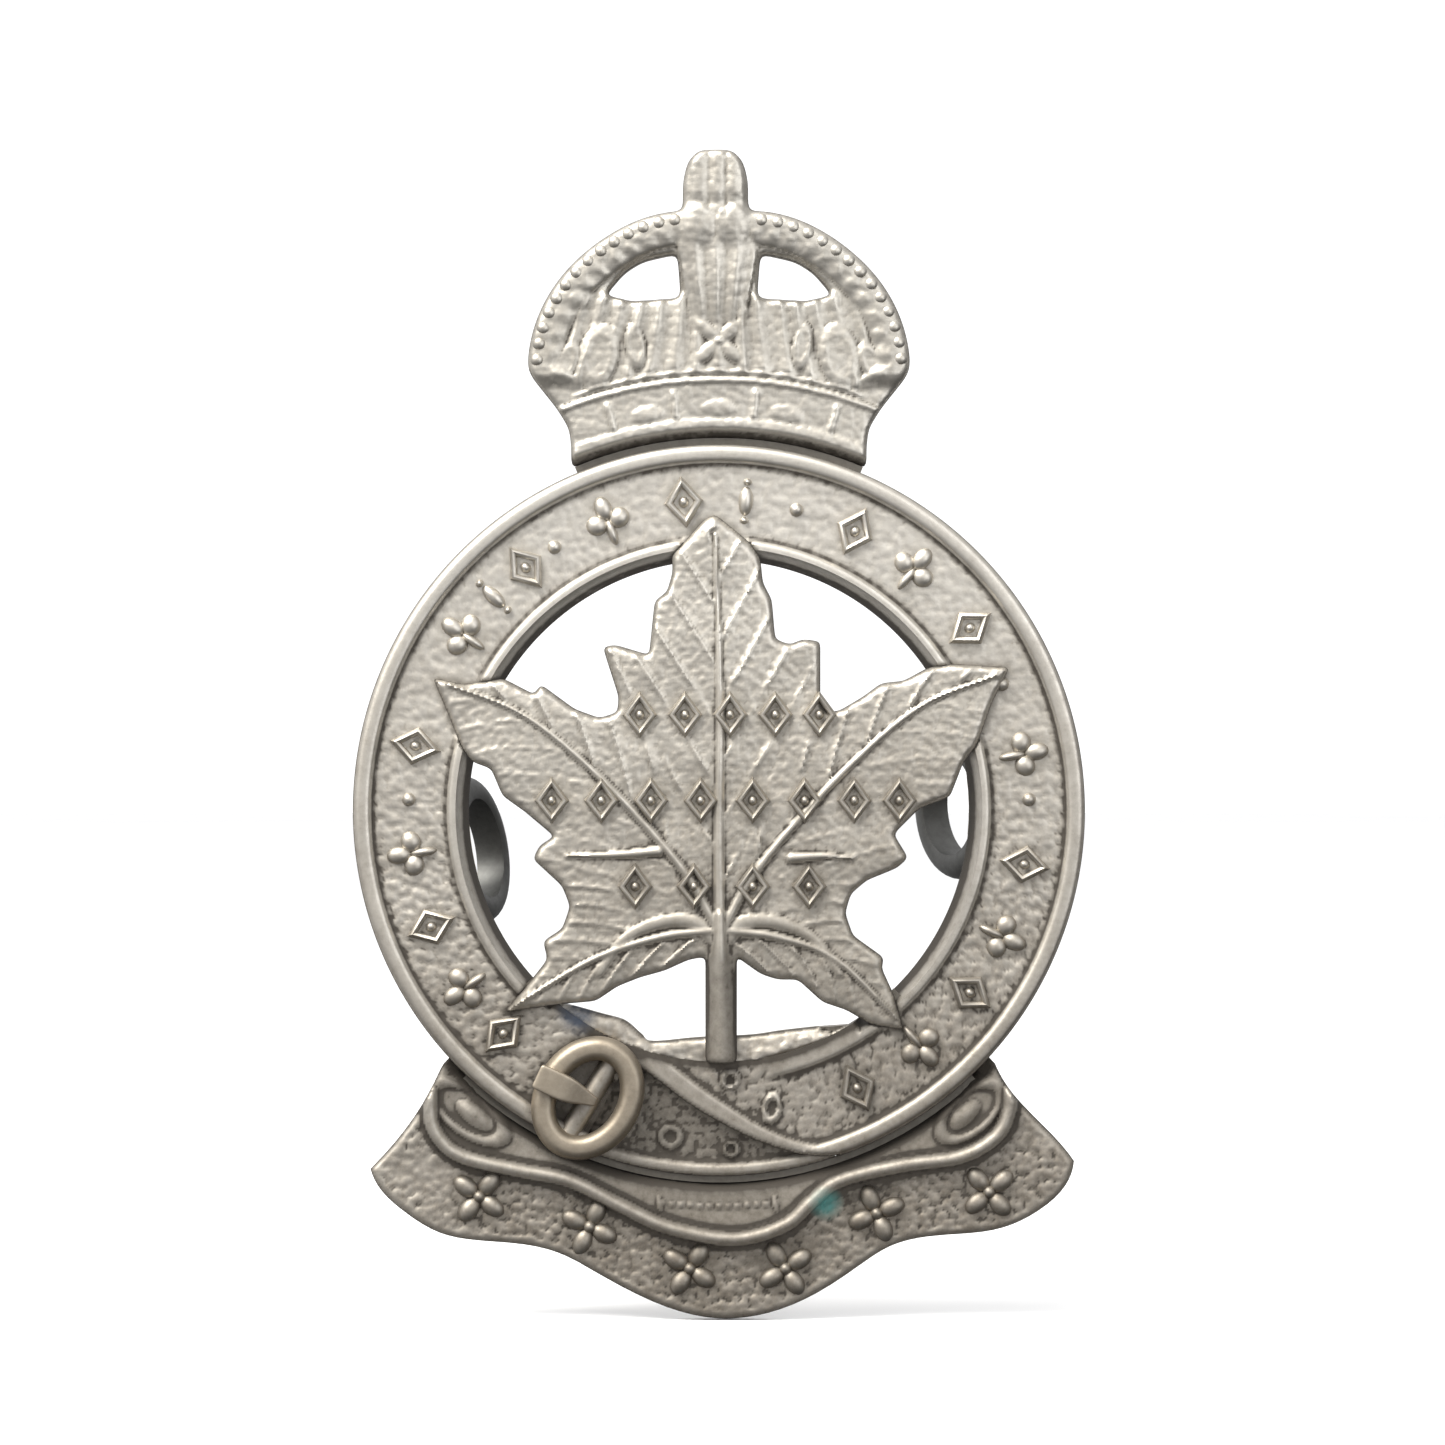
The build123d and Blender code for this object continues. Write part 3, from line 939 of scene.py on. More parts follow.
def delete_faces(thing: bpy.types.Object, doomed: np.ndarray) -> None:
    """Delete the faces marked in an array.

    Args:
        thing: the piece.
        doomed: which faces to delete.
    """
    pick(thing)
    bpy.context.tool_settings.mesh_select_mode = (False, False, True)
    for group in (thing.data.vertices, thing.data.edges):
        group.foreach_set("select", np.zeros(len(group), bool))
    thing.data.polygons.foreach_set("select", doomed)
    bpy.ops.object.mode_set(mode="EDIT")
    bpy.ops.mesh.delete(type="FACE")
    bpy.ops.object.mode_set(mode="OBJECT")


def trim(thing: bpy.types.Object, outline: Outline, keep_inside: bool = True) -> None:
    """Trim a flat grid to an outline and draw its new edge points onto the line.

    Args:
        thing: the grid.
        outline: the line.
        keep_inside: False to keep what lies outside it.
    """
    old_edge = points_of(thing)[edge_points(thing)][:, (0, 2)]
    inside = outline.nearest(face_middles(thing))[0] > 0
    delete_faces(thing, inside != keep_inside)
    points = points_of(thing)
    rim = edge_points(thing)
    kept = {tuple(np.round(p, 4)) for p in old_edge}
    rim = np.array([i for i in rim if tuple(np.round(points[i][[0, 2]], 4)) not in kept], int)
    points[np.ix_(rim, (0, 2))] = outline.nearest(points[rim][:, (0, 2)])[1]
    move_points(thing, points)


def strike(sheet: bpy.types.Object, front: DepthField, back: DepthField,
           dirt_and_shade: DepthField | None = None) -> bpy.types.Object:
    """Give a flat sheet its thickness and its relief.

    Args:
        sheet: the flat sheet, at depth 0.
        front: the front's depth over the plane.
        back: the back's depth over the plane.
        dirt_and_shade: more soiling and painted shade over the plane.

    Returns:
        The struck sheet.
    """
    apply_modifier(sheet, "SOLIDIFY", thickness=MM, offset=-1.0)
    points = points_of(sheet)
    x, z = points[:, 0], points[:, 2]
    behind = points[:, 1] > 0.5
    depth = np.empty(len(points))
    depth[~behind] = front(x[~behind], z[~behind])
    depth[behind] = back(x[behind], z[behind])
    extra_dirt_and_shade = np.zeros(len(points))
    if dirt_and_shade is not None:
        extra_dirt_and_shade[~behind] = dirt_and_shade(x[~behind], z[~behind])
    points[:, 1] = -depth
    move_points(sheet, points)
    paint_relief(sheet, np.where(behind, -depth, depth), behind, extra_dirt_and_shade)
    smooth_shade(sheet)
    return sheet


def copies(model: bpy.types.Object, places: Iterable[Matrix], name: str) -> bpy.types.Object:
    """Copy a small shape to many places and join the copies.

    Args:
        model: the shape, which is used up.
        places: where each copy goes.
        name: the name of the whole.

    Returns:
        The whole.
    """
    made = []
    for place in places:
        mesh = model.data.copy()
        mesh.transform(place)
        copy = bpy.data.objects.new(name, mesh)
        bpy.context.scene.collection.objects.link(copy)
        made.append(copy)
    bpy.data.objects.remove(model)
    return join(made, name)


def spot(x: float, z: float, depth: float, turn: float = 0.0) -> Matrix:
    """Return the place of a small shape that was made at the origin.

    Args:
        x: to the right.
        z: up.
        depth: forward.
        turn: degrees clockwise, seen from the front.

    Returns:
        The transform.
    """
    return Matrix.Translation((x * MM, -depth * MM, z * MM)) @ Matrix.Rotation(math.radians(turn), 4, "Y")


# ---------------------------------------------------------------- generic ornament


class Motif(Enum):
    """The plain devices that stand in rows on the ring, the leaf and the scroll."""

    LOZENGE = "lozenge"
    TREFOIL = "trefoil"
    SPINDLE = "spindle"
    PELLET = "pellet"
    FLOWER = "flower"


@dataclass
class Ornament:
    """A device of one height, made at the origin to stand on a surface."""

    height: float = 0.36
    stroke: float = 0.42

    def make(self, motif: Motif, length: float = 2.3, width: float = 1.7) -> bpy.types.Object:
        """Make one device.

        Args:
            motif: which device.
            length: its size up and down.
            width: its size across.

        Returns:
            The device.
        """
        if motif is Motif.LOZENGE:
            return self.lozenge(length, width)
        blobs = {
            Motif.TREFOIL: [(0, 0.25, 0.22, 0.25, 0), (-0.29, -0.02, 0.27, 0.2, 25),
                            (0.29, -0.02, 0.27, 0.2, -25), (0, -0.24, 0.12, 0.27, 0)],
            Motif.SPINDLE: [(0, 0, 0.27, 0.33, 0), (0, 0.43, 0.16, 0.08, 0), (0, -0.43, 0.16, 0.08, 0)],
            Motif.PELLET: [(0, 0, 0.5, 0.5, 0)],
            Motif.FLOWER: [*((x, z, 0.2, 0.29, math.copysign(45, x * z))
                             for x, z in ((0.24, 0.24), (-0.24, 0.24), (0.24, -0.24), (-0.24, -0.24))),
                           (0, 0, 0.14, 0.14, 0)]}
        parts = [self.blob(x * width, z * length, across * width, up * length, turn)
                 for x, z, across, up, turn in blobs[motif]]
        return join(parts, motif.value)

    def blob(self, x: float, z: float, across: float, up: float, turn: float) -> bpy.types.Object:
        """Make one round-topped boss.

        Args:
            x: its middle to the right.
            z: its middle up.
            across: half its width.
            up: half its length.
            turn: degrees clockwise.

        Returns:
            The boss.
        """
        clear_selection()
        bpy.ops.mesh.primitive_ico_sphere_add(subdivisions=3, radius=MM)
        piece = bpy.context.active_object
        piece.scale = (across, self.height, up)
        piece.rotation_euler = (0.0, math.radians(turn), 0.0)
        piece.location = (x * MM, 0.0, z * MM)
        return settle(piece)

    def lozenge(self, length: float, width: float) -> bpy.types.Object:
        """Make an open lozenge with a pellet in it.

        Args:
            length: its size up and down.
            width: its size across.

        Returns:
            The lozenge.
        """
        clear_selection()
        half_stroke = self.stroke / 2 / width
        bpy.ops.mesh.primitive_torus_add(
            major_segments=4, minor_segments=12, major_radius=(0.5 - half_stroke) * MM,
            minor_radius=half_stroke * MM, rotation=(math.pi / 2, 0.0, 0.0))
        piece = settle(bpy.context.active_object)
        piece.scale = (width, 2.0 * self.height / self.stroke * width, length)
        settle(piece)
        return join([piece, self.blob(0.0, 0.0, 0.13 * width, 0.11 * length, 0.0)], "lozenge")


def halo(x: np.ndarray, z: np.ndarray, places: Iterable[tuple[float, float, float]],
         size: tuple[float, float]) -> np.ndarray:
    """Return the painted shadow round standing devices; the leaf also uses it to flatten its blade round
    them.

    Args:
        x: places to the right.
        z: places up.
        places: each device's middle, and its turn clockwise.
        size: half its width and half its length.

    Returns:
        1 against a device, falling to 0.
    """
    dark = np.zeros(x.shape)
    for px, pz, turn in places:
        dark = np.maximum(dark, 1.0 - rise(oval(x, z, (px, pz), size, -turn), 0.9, 1.45))
    return dark


# ---------------------------------------------------------------- garter ring


@dataclass
class GarterRing:
    """The buckled strap: a ring with two rims, matted ground, and its loose end under the buckle.

    Places of devices are degrees clockwise from the top, and spans are degrees either side of the foot.
    """

    metal: bpy.types.Material
    leaf: Outline
    buckle: Outline
    ground: float = 1.2
    tail_depth: float = 0.2
    hollow: float = 0.5
    rim: float = 0.36
    inner_rim: float = 0.9
    outer_rim: float = 0.8
    draft: float = 0.5
    pitch: float = 0.105
    matting: float = 0.085
    devices: dict[Motif, Sequence[float]] = field(default_factory=lambda: {
        Motif.LOZENGE: (-136, -112, -78, -38.5, -6.5, 26, 54, 100, 126, 153.5),
        Motif.TREFOIL: (-125, -98, -55.5, -21, 39, 79.5, 114, 139.5),
        Motif.SPINDLE: (-46.5, 5), Motif.PELLET: (-88, -32, 14.5, 66, 88)})
    annulets: Sequence[tuple[float, float, float, float]] = (
        (0.5, -11.95, 0.42, 0.42), (2.35, -13.2, 0.42, 0.72))
    eyelets: Sequence[tuple[float, float, float]] = ((-2.15, -14.5, 0.52), (0.55, -15.05, 0.36))
    bank_ridge: Line = ((1.6, -10.9), (3.6, -10.3), (5.6, -9.9), (7.6, -9.3))
    edge_start: float = -4.7
    inner_rim_ends: tuple[float, float] = (41.0, 9.0)
    lip_span: float = 28.0
    bank_span: float = 39.0
    device_sizes: dict[Motif, tuple[float, float]] = field(default_factory=lambda: {
        Motif.LOZENGE: (2.35, 1.75), Motif.TREFOIL: (2.25, 1.8), Motif.SPINDLE: (2.0, 1.2),
        Motif.PELLET: (0.62, 0.62)})
    grain: Grain = field(default_factory=lambda: Grain(11, 0.34))
    sway: Grain = field(default_factory=lambda: Grain(12, 2.6))

    def __post_init__(self) -> None:
        """Read the ring's sizes from the frame."""
        low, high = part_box("garter_strap")
        self.outer = (high.x - low.x) / 2 / MM
        self.tail = Outline.of_back("strap_tail", self.tail_depth)
        self.opening = Outline.of_back("garter_strap", 0.0).part(self.in_opening)
        self.inner = float(np.percentile(np.hypot(*self.opening.starts.T), 80))
        self.edge = self.tail.part(self.on_strap_edge)
        self.middle = (self.inner + self.draft + self.inner_rim / 2 + self.outer - self.outer_rim) / 2

    def in_opening(self, middles: np.ndarray) -> np.ndarray:
        """Return which edges of the ring's back belong to the opening."""
        return np.hypot(*middles.T) < self.outer * 0.72

    def on_strap_edge(self, middles: np.ndarray) -> np.ndarray:
        """Return which edges of the loose end lie along the strap's lower edge."""
        return (np.hypot(*middles.T) < self.outer - 0.03) & (middles[:, 0] > self.edge_start)

    def angles(self, x: np.ndarray, z: np.ndarray) -> tuple[np.ndarray, np.ndarray]:
        """Return the radius and the angle from straight down, in degrees."""
        return np.hypot(x, z), np.degrees(np.arctan2(x, -z))

    def covered(self, x: np.ndarray, z: np.ndarray) -> np.ndarray:
        """Return 1 where the leaf or the buckle lies on the ring."""
        under_leaf = rise(self.leaf.inside(x, z), -0.06, 0.1)
        return np.maximum(under_leaf, rise(self.buckle.inside(x, z), -0.02, 0.12))

    def front(self, x: np.ndarray, z: np.ndarray) -> np.ndarray:
        """Return the front's depth.

        Args:
            x: places to the right.
            z: places up.

        Returns:
            The depths.
        """
        r, below = self.angles(x, z)
        left, right = self.inner_rim_ends
        inner_on = np.maximum(rise(below, right, right + 6.0), rise(-below, left, left + 5.0))
        bare = 1.0 - self.covered(x, z)
        foot = self.outer - self.outer_rim
        outer = rise(r, foot - 0.1, foot + 0.1)
        crest = self.inner + self.inner_rim
        inner = (1.0 - rise(r, crest - 0.1, crest + 0.12)) * inner_on
        near_edge = np.abs(self.edge.inside(x, z))
        width = 0.95 - 0.42 * rise(below, -6.0, 18.0)
        lip = 1.0 - rise(near_edge, width - 0.12, width + 0.12)
        lip *= rise(self.lip_span - np.abs(below - 1.0), 0.0, 4.0)
        lift = np.maximum.reduce([outer, inner * bare, lip]) * self.rim
        hollowed = 0.05 * np.sin(np.clip((r - foot) / self.outer_rim, 0, 1) * math.pi)
        matt = (1.0 - rise(lift, 0.02, 0.16)) * bare
        depth = self.ground + lift + hollowed * (lift > 0.3) + self.sway.drift(x, z) * 0.025
        depth += self.grain.pebbles(x, z) * self.matting * matt * (0.4 + 0.6 * rise(-z, -9.0, 9.0))
        for px, pz, across, up in self.annulets:
            depth += 0.2 * boss((oval(x, z, (px, pz), (across, up), -8.0) - 0.78) / 0.3)
        depth -= rolled(self.outer - r, 0.26)
        depth -= rolled(near_edge, 0.2) * rise(self.lip_span - np.abs(below), 0.0, 3.0)
        wall = np.clip((r - self.inner) / self.draft, 0.0, 1.0)
        banked = rise(self.bank_span - np.abs(below + 4.0), 0.0, 3.0)
        return depth * np.maximum(wall, banked) + 0.04

    def back(self, x: np.ndarray, z: np.ndarray) -> np.ndarray:
        """Return the back's depth: a flat land inside, a flat edge outside and a hollow between.

        Args:
            x: places to the right.
            z: places up.

        Returns:
            The depths.
        """
        r = np.hypot(x, z)
        within = rise(r, self.inner + 2.3, self.inner + 2.7)
        within *= 1.0 - rise(r, self.outer - 1.25, self.outer - 0.95)
        return within * (self.hollow + 0.03 * self.sway.drift(x * 2, z * 2))

    def dirt_and_shade(self, x: np.ndarray, z: np.ndarray) -> np.ndarray:
        """Return painted shadow at the leaf's and buckle's edges, painted shade in the opening and round the
        devices, and darker towards the foot.

        Args:
            x: places to the right.
            z: places up.

        Returns:
            The added painted shade.
        """
        r = np.hypot(x, z)
        # Painted shadow along the leaf's and buckle's edges.
        beside = 1.0 - rise(-self.leaf.inside(x, z), 0.0, 0.35)
        beside = np.maximum(beside, 1.0 - rise(-self.buckle.inside(x, z), 0.05, 0.5))
        # Painted shade on the opening's drafted wall.
        wall = 1.0 - rise(r, self.inner + 0.1, self.inner + self.draft + 0.05)
        # Darker towards the ring's foot.
        bottom = 0.25 * rise(-z, 4.0, 14.0) * (1.0 - rise(r, self.outer - 1.0, self.outer - 0.7))
        # Painted shadow round the large devices.
        large = (*self.devices[Motif.LOZENGE], *self.devices[Motif.TREFOIL])
        places = [self.on_ring(angle) for angle in large]
        return beside * 0.5 + wall * 0.8 + bottom + 0.34 * halo(x, z, places, (0.75, 1.1))

    def make_band(self) -> bpy.types.Object:
        """Make the ring: a strip bent round, cut back where the strap narrows, and struck.

        Returns:
            The ring.
        """
        rows = int((self.outer - self.inner) / self.pitch)
        turns = int(2 * math.pi * self.middle / self.pitch)
        clear_selection()
        bpy.ops.mesh.primitive_grid_add(x_subdivisions=rows, y_subdivisions=turns, size=1.0)
        band = bpy.context.active_object
        band.name = band.data.name = "garter_band"
        flat = points_of(band) * MM
        radius = self.inner + (flat[:, 0] + 0.5) * (self.outer - self.inner)
        angle = (flat[:, 1] + 0.5) * 2 * math.pi
        x, z = -radius * np.cos(angle), radius * np.sin(angle)
        move_points(band, np.column_stack([x, np.zeros(len(flat)), z]))
        pick(band)
        bpy.ops.object.mode_set(mode="EDIT")
        bpy.ops.mesh.select_all(action="SELECT")
        bpy.ops.mesh.remove_doubles(threshold=0.001 * MM)
        bpy.ops.object.mode_set(mode="OBJECT")
        if band.data.polygons[0].normal.y > 0:
            band.data.flip_normals()
        trim(band, self.tail, keep_inside=False)
        return strike(band, self.front, self.back, self.dirt_and_shade)

    def bank_outline(self) -> Outline:
        """Return the outline of the bank that closes the bottom of the opening.

        Returns:
            The outline.
        """
        starts = self.opening.starts
        r, below = self.angles(starts[:, 0], starts[:, 1])
        top = starts[(r < self.inner - 0.22) & (np.abs(below) < 50)]
        top = curve_through(top[np.argsort(np.arctan2(top[:, 0], -top[:, 1]))], 6)
        sweep = np.radians(np.linspace(34.0, -43.0, 60))
        foot = np.column_stack([np.sin(sweep), -np.cos(sweep)]) * (self.inner + 0.3)
        return Outline.of_loop(np.vstack([top, foot]))

    def bank_front(self, x: np.ndarray, z: np.ndarray) -> np.ndarray:
        """Return the bank's front depth.

        Args:
            x: places to the right.
            z: places up.

        Returns:
            The depths.
        """
        r = np.hypot(x, z)
        near = np.abs(self.opening.inside(x, z))
        ridge = Stroke(curve_through(self.bank_ridge), 0.28, 0.16, 0.08)
        depth = self.ground + 0.04 + 0.06 * self.sway.drift(x * 2.2, z * 2.2) + ridge.raised(x, z)
        depth += self.grain.pebbles(x, z) * self.matting * 0.8 * rise(near, 0.15, 0.4)
        depth -= rolled(near, 0.24) * (r < self.inner - 0.02)
        return depth - 0.5 * rise(r, self.inner + 0.02, self.inner + 0.28)

    def bank_back(self, x: np.ndarray, z: np.ndarray) -> np.ndarray:
        """Return the bank's back depth: flat, and sunk a little where the ring covers it."""
        return 0.15 * rise(np.hypot(x, z), self.inner - 0.05, self.inner + 0.1)

    def bank_dirt_and_shade(self, x: np.ndarray, z: np.ndarray) -> np.ndarray:
        """Return less soiling and painted shade than its low place would give the bank."""
        return np.full(x.shape, -0.16)

    def tail_front(self, x: np.ndarray, z: np.ndarray) -> np.ndarray:
        """Return the loose end's front depth.

        Args:
            x: places to the right.
            z: places up.

        Returns:
            The depths.
        """
        r = np.hypot(x, z)
        lip = rise(r, self.outer - 0.72, self.outer - 0.38)
        depth = self.ground - 0.3 + 0.3 * lip + self.sway.drift(x, z) * 0.03
        for px, pz, size in self.eyelets:
            depth += 0.2 * boss((oval(x, z, (px, pz), (size, size)) - 0.8) / 0.34)
        depth += self.grain.pebbles(x, z) * self.matting * (1.0 - lip)
        return depth - rolled(self.outer - r, 0.2)

    def tail_back(self, x: np.ndarray, z: np.ndarray) -> np.ndarray:
        """Return the loose end's flat back."""
        return np.full(x.shape, self.tail_depth)

    def tail_dirt_and_shade(self, x: np.ndarray, z: np.ndarray) -> np.ndarray:
        """Return soiling and painted shade on the loose end, less on its lip."""
        return 0.65 - 0.5 * rise(np.hypot(x, z), self.outer - 0.7, self.outer - 0.4)

    def on_ring(self, angle: float) -> tuple[float, float, float]:
        """Return a place midway across the ground, clockwise from the top, and its turn."""
        a = math.radians(angle)
        return self.middle * math.sin(a), self.middle * math.cos(a), angle

    def build(self) -> None:
        """Make, dress and report the ring's pieces."""
        band = self.make_band()
        bank = StruckSheet("garter_bank", self.bank_outline(), 0.1, self.bank_front, self.bank_back,
                           self.bank_dirt_and_shade).make()
        tail = StruckSheet("strap_tail_end", self.tail, 0.09, self.tail_front, self.tail_back,
                           self.tail_dirt_and_shade).make()
        dress(band, self.metal, Slot.STRUCK, "garter_strap")
        dress(bank, self.metal, Slot.STRUCK)
        dress(tail, self.metal, Slot.STRUCK, "strap_tail")
        for motif, angles in self.devices.items():
            model = Ornament().make(motif, *self.device_sizes[motif])
            seats = [spot(x, z, self.ground + 0.02, turn) for x, z, turn in map(self.on_ring, angles)]
            made = copies(model, seats, f"garter_{motif.value}s")
            smooth_shade(made, 40.0)
            dress(made, self.metal, Slot.STRUCK)


# ---------------------------------------------------------------- buckle


@dataclass
class Buckle:
    """The oval wire buckle and its tongue."""

    metal: bpy.types.Material
    strap: bpy.types.Material
    wire: float = 1.1
    ground: float = 1.2
    lean: float = 31.0
    frame_depth: float = 0.55
    fold_radius: float = 0.48
    fold_depth: float = 0.12
    fold_shift: float = 0.1
    tongue: tuple[float, float, float] = (2.9, 0.6, 1.15)
    tongue_depth: float = 1.28
    tongue_shift: float = -1.02
    tongue_turn: float = -6.0

    def __post_init__(self) -> None:
        """Read the buckle's place and size from the frame."""
        self.outline = Outline.of_back("buckle_frame", self.ground)
        ends = self.outline.starts
        self.centre = (ends.min(axis=0) + ends.max(axis=0)) / 2
        angle = math.radians(self.lean)
        along = np.array([math.sin(angle), math.cos(angle)])
        across = np.array([math.cos(angle), -math.sin(angle)])
        self.tall = np.abs((ends - self.centre) @ along).max()
        self.wide = np.abs((ends - self.centre) @ across).max()
        turns = np.linspace(0, 2 * math.pi, 90, endpoint=False)[:, None]
        rim = self.centre + self.tall * np.cos(turns) * along + self.wide * np.sin(turns) * across
        self.cover = Outline.of_loop(rim)

    def place(self, depth: float) -> Matrix:
        """Return the buckle's place at a depth above the ground."""
        return spot(self.centre[0], self.centre[1], self.ground + depth, self.lean)

    def make_frame(self) -> bpy.types.Object:
        """Bend the frame: an oval of round wire, flattened a little at front and back.

        Returns:
            The frame.
        """
        clear_selection()
        bpy.ops.mesh.primitive_torus_add(major_segments=96, minor_segments=24, major_radius=MM,
                                         minor_radius=self.wire / 2 * MM, rotation=(math.pi / 2, 0.0, 0.0))
        piece = settle(bpy.context.active_object)
        points = points_of(piece)
        ring = np.hypot(points[:, 0], points[:, 2])
        cos, sin = points[:, 0] / ring, points[:, 2] / ring
        out = ring - 1.0
        points[:, 0] = cos * (self.wide - self.wire / 2) + out * cos
        points[:, 2] = sin * (self.tall - self.wire / 2) + out * sin
        points[:, 1] = np.clip(points[:, 1] * 1.12, -0.56, 0.6)
        move_points(piece, points)
        piece.data.transform(self.place(self.frame_depth))
        piece.name = piece.data.name = "buckle_wire_frame"
        return piece

    def make_bar(self) -> bpy.types.Object:
        """Make the strap's fold that shows inside the frame.

        Returns:
            The fold.
        """
        clear_selection()
        bpy.ops.mesh.primitive_cylinder_add(vertices=32, radius=self.fold_radius * MM,
                                            depth=2.0 * (self.tall - self.wire / 2) * MM)
        piece = bpy.context.active_object
        shift = Matrix.Translation((self.fold_shift * MM, 0.0, 0.0))
        piece.data.transform(self.place(self.fold_depth) @ shift)
        piece.name = piece.data.name = "buckle_strap_fold"
        return piece

    def make_tongue(self) -> bpy.types.Object:
        """Make the tongue: a bar drawn to a point, lying over the frame's left side.

        Returns:
            The tongue.
        """
        clear_selection()
        bpy.ops.mesh.primitive_cube_add(size=MM)
        piece = bpy.context.active_object
        piece.scale = self.tongue
        settle(piece)
        bpy.ops.object.mode_set(mode="EDIT")
        bpy.ops.mesh.subdivide(number_cuts=5)
        bpy.ops.object.mode_set(mode="OBJECT")
        points = points_of(piece)
        share = points[:, 0] / self.tongue[0] + 0.5
        points[:, 2] *= 1.0 - 0.66 * rise(share, 0.5, 1.0)
        points[:, 1] += 0.62 * rise(share, 0.4, 1.05)
        move_points(piece, points)
        apply_modifier(piece, "SUBSURF", levels=2, render_levels=2)
        turn = Matrix.Rotation(math.radians(self.tongue_turn), 4, "Y")
        shift = Matrix.Translation((self.tongue_shift * MM, 0.0, 0.0))
        piece.data.transform(self.place(self.tongue_depth) @ turn @ shift)
        piece.name = piece.data.name = "buckle_prong"
        return piece

    def build(self) -> None:
        """Make and dress the buckle's pieces."""
        pieces = ((self.make_frame(), self.metal, ["buckle_frame"]), (self.make_bar(), self.strap, []),
                  (self.make_tongue(), self.metal, ["buckle_tongue"]))
        for piece, metal, nodes in pieces:
            smooth_shade(piece)
            dress(piece, metal, Slot.BUCKLE, *nodes)


# ---------------------------------------------------------------- maple leaf


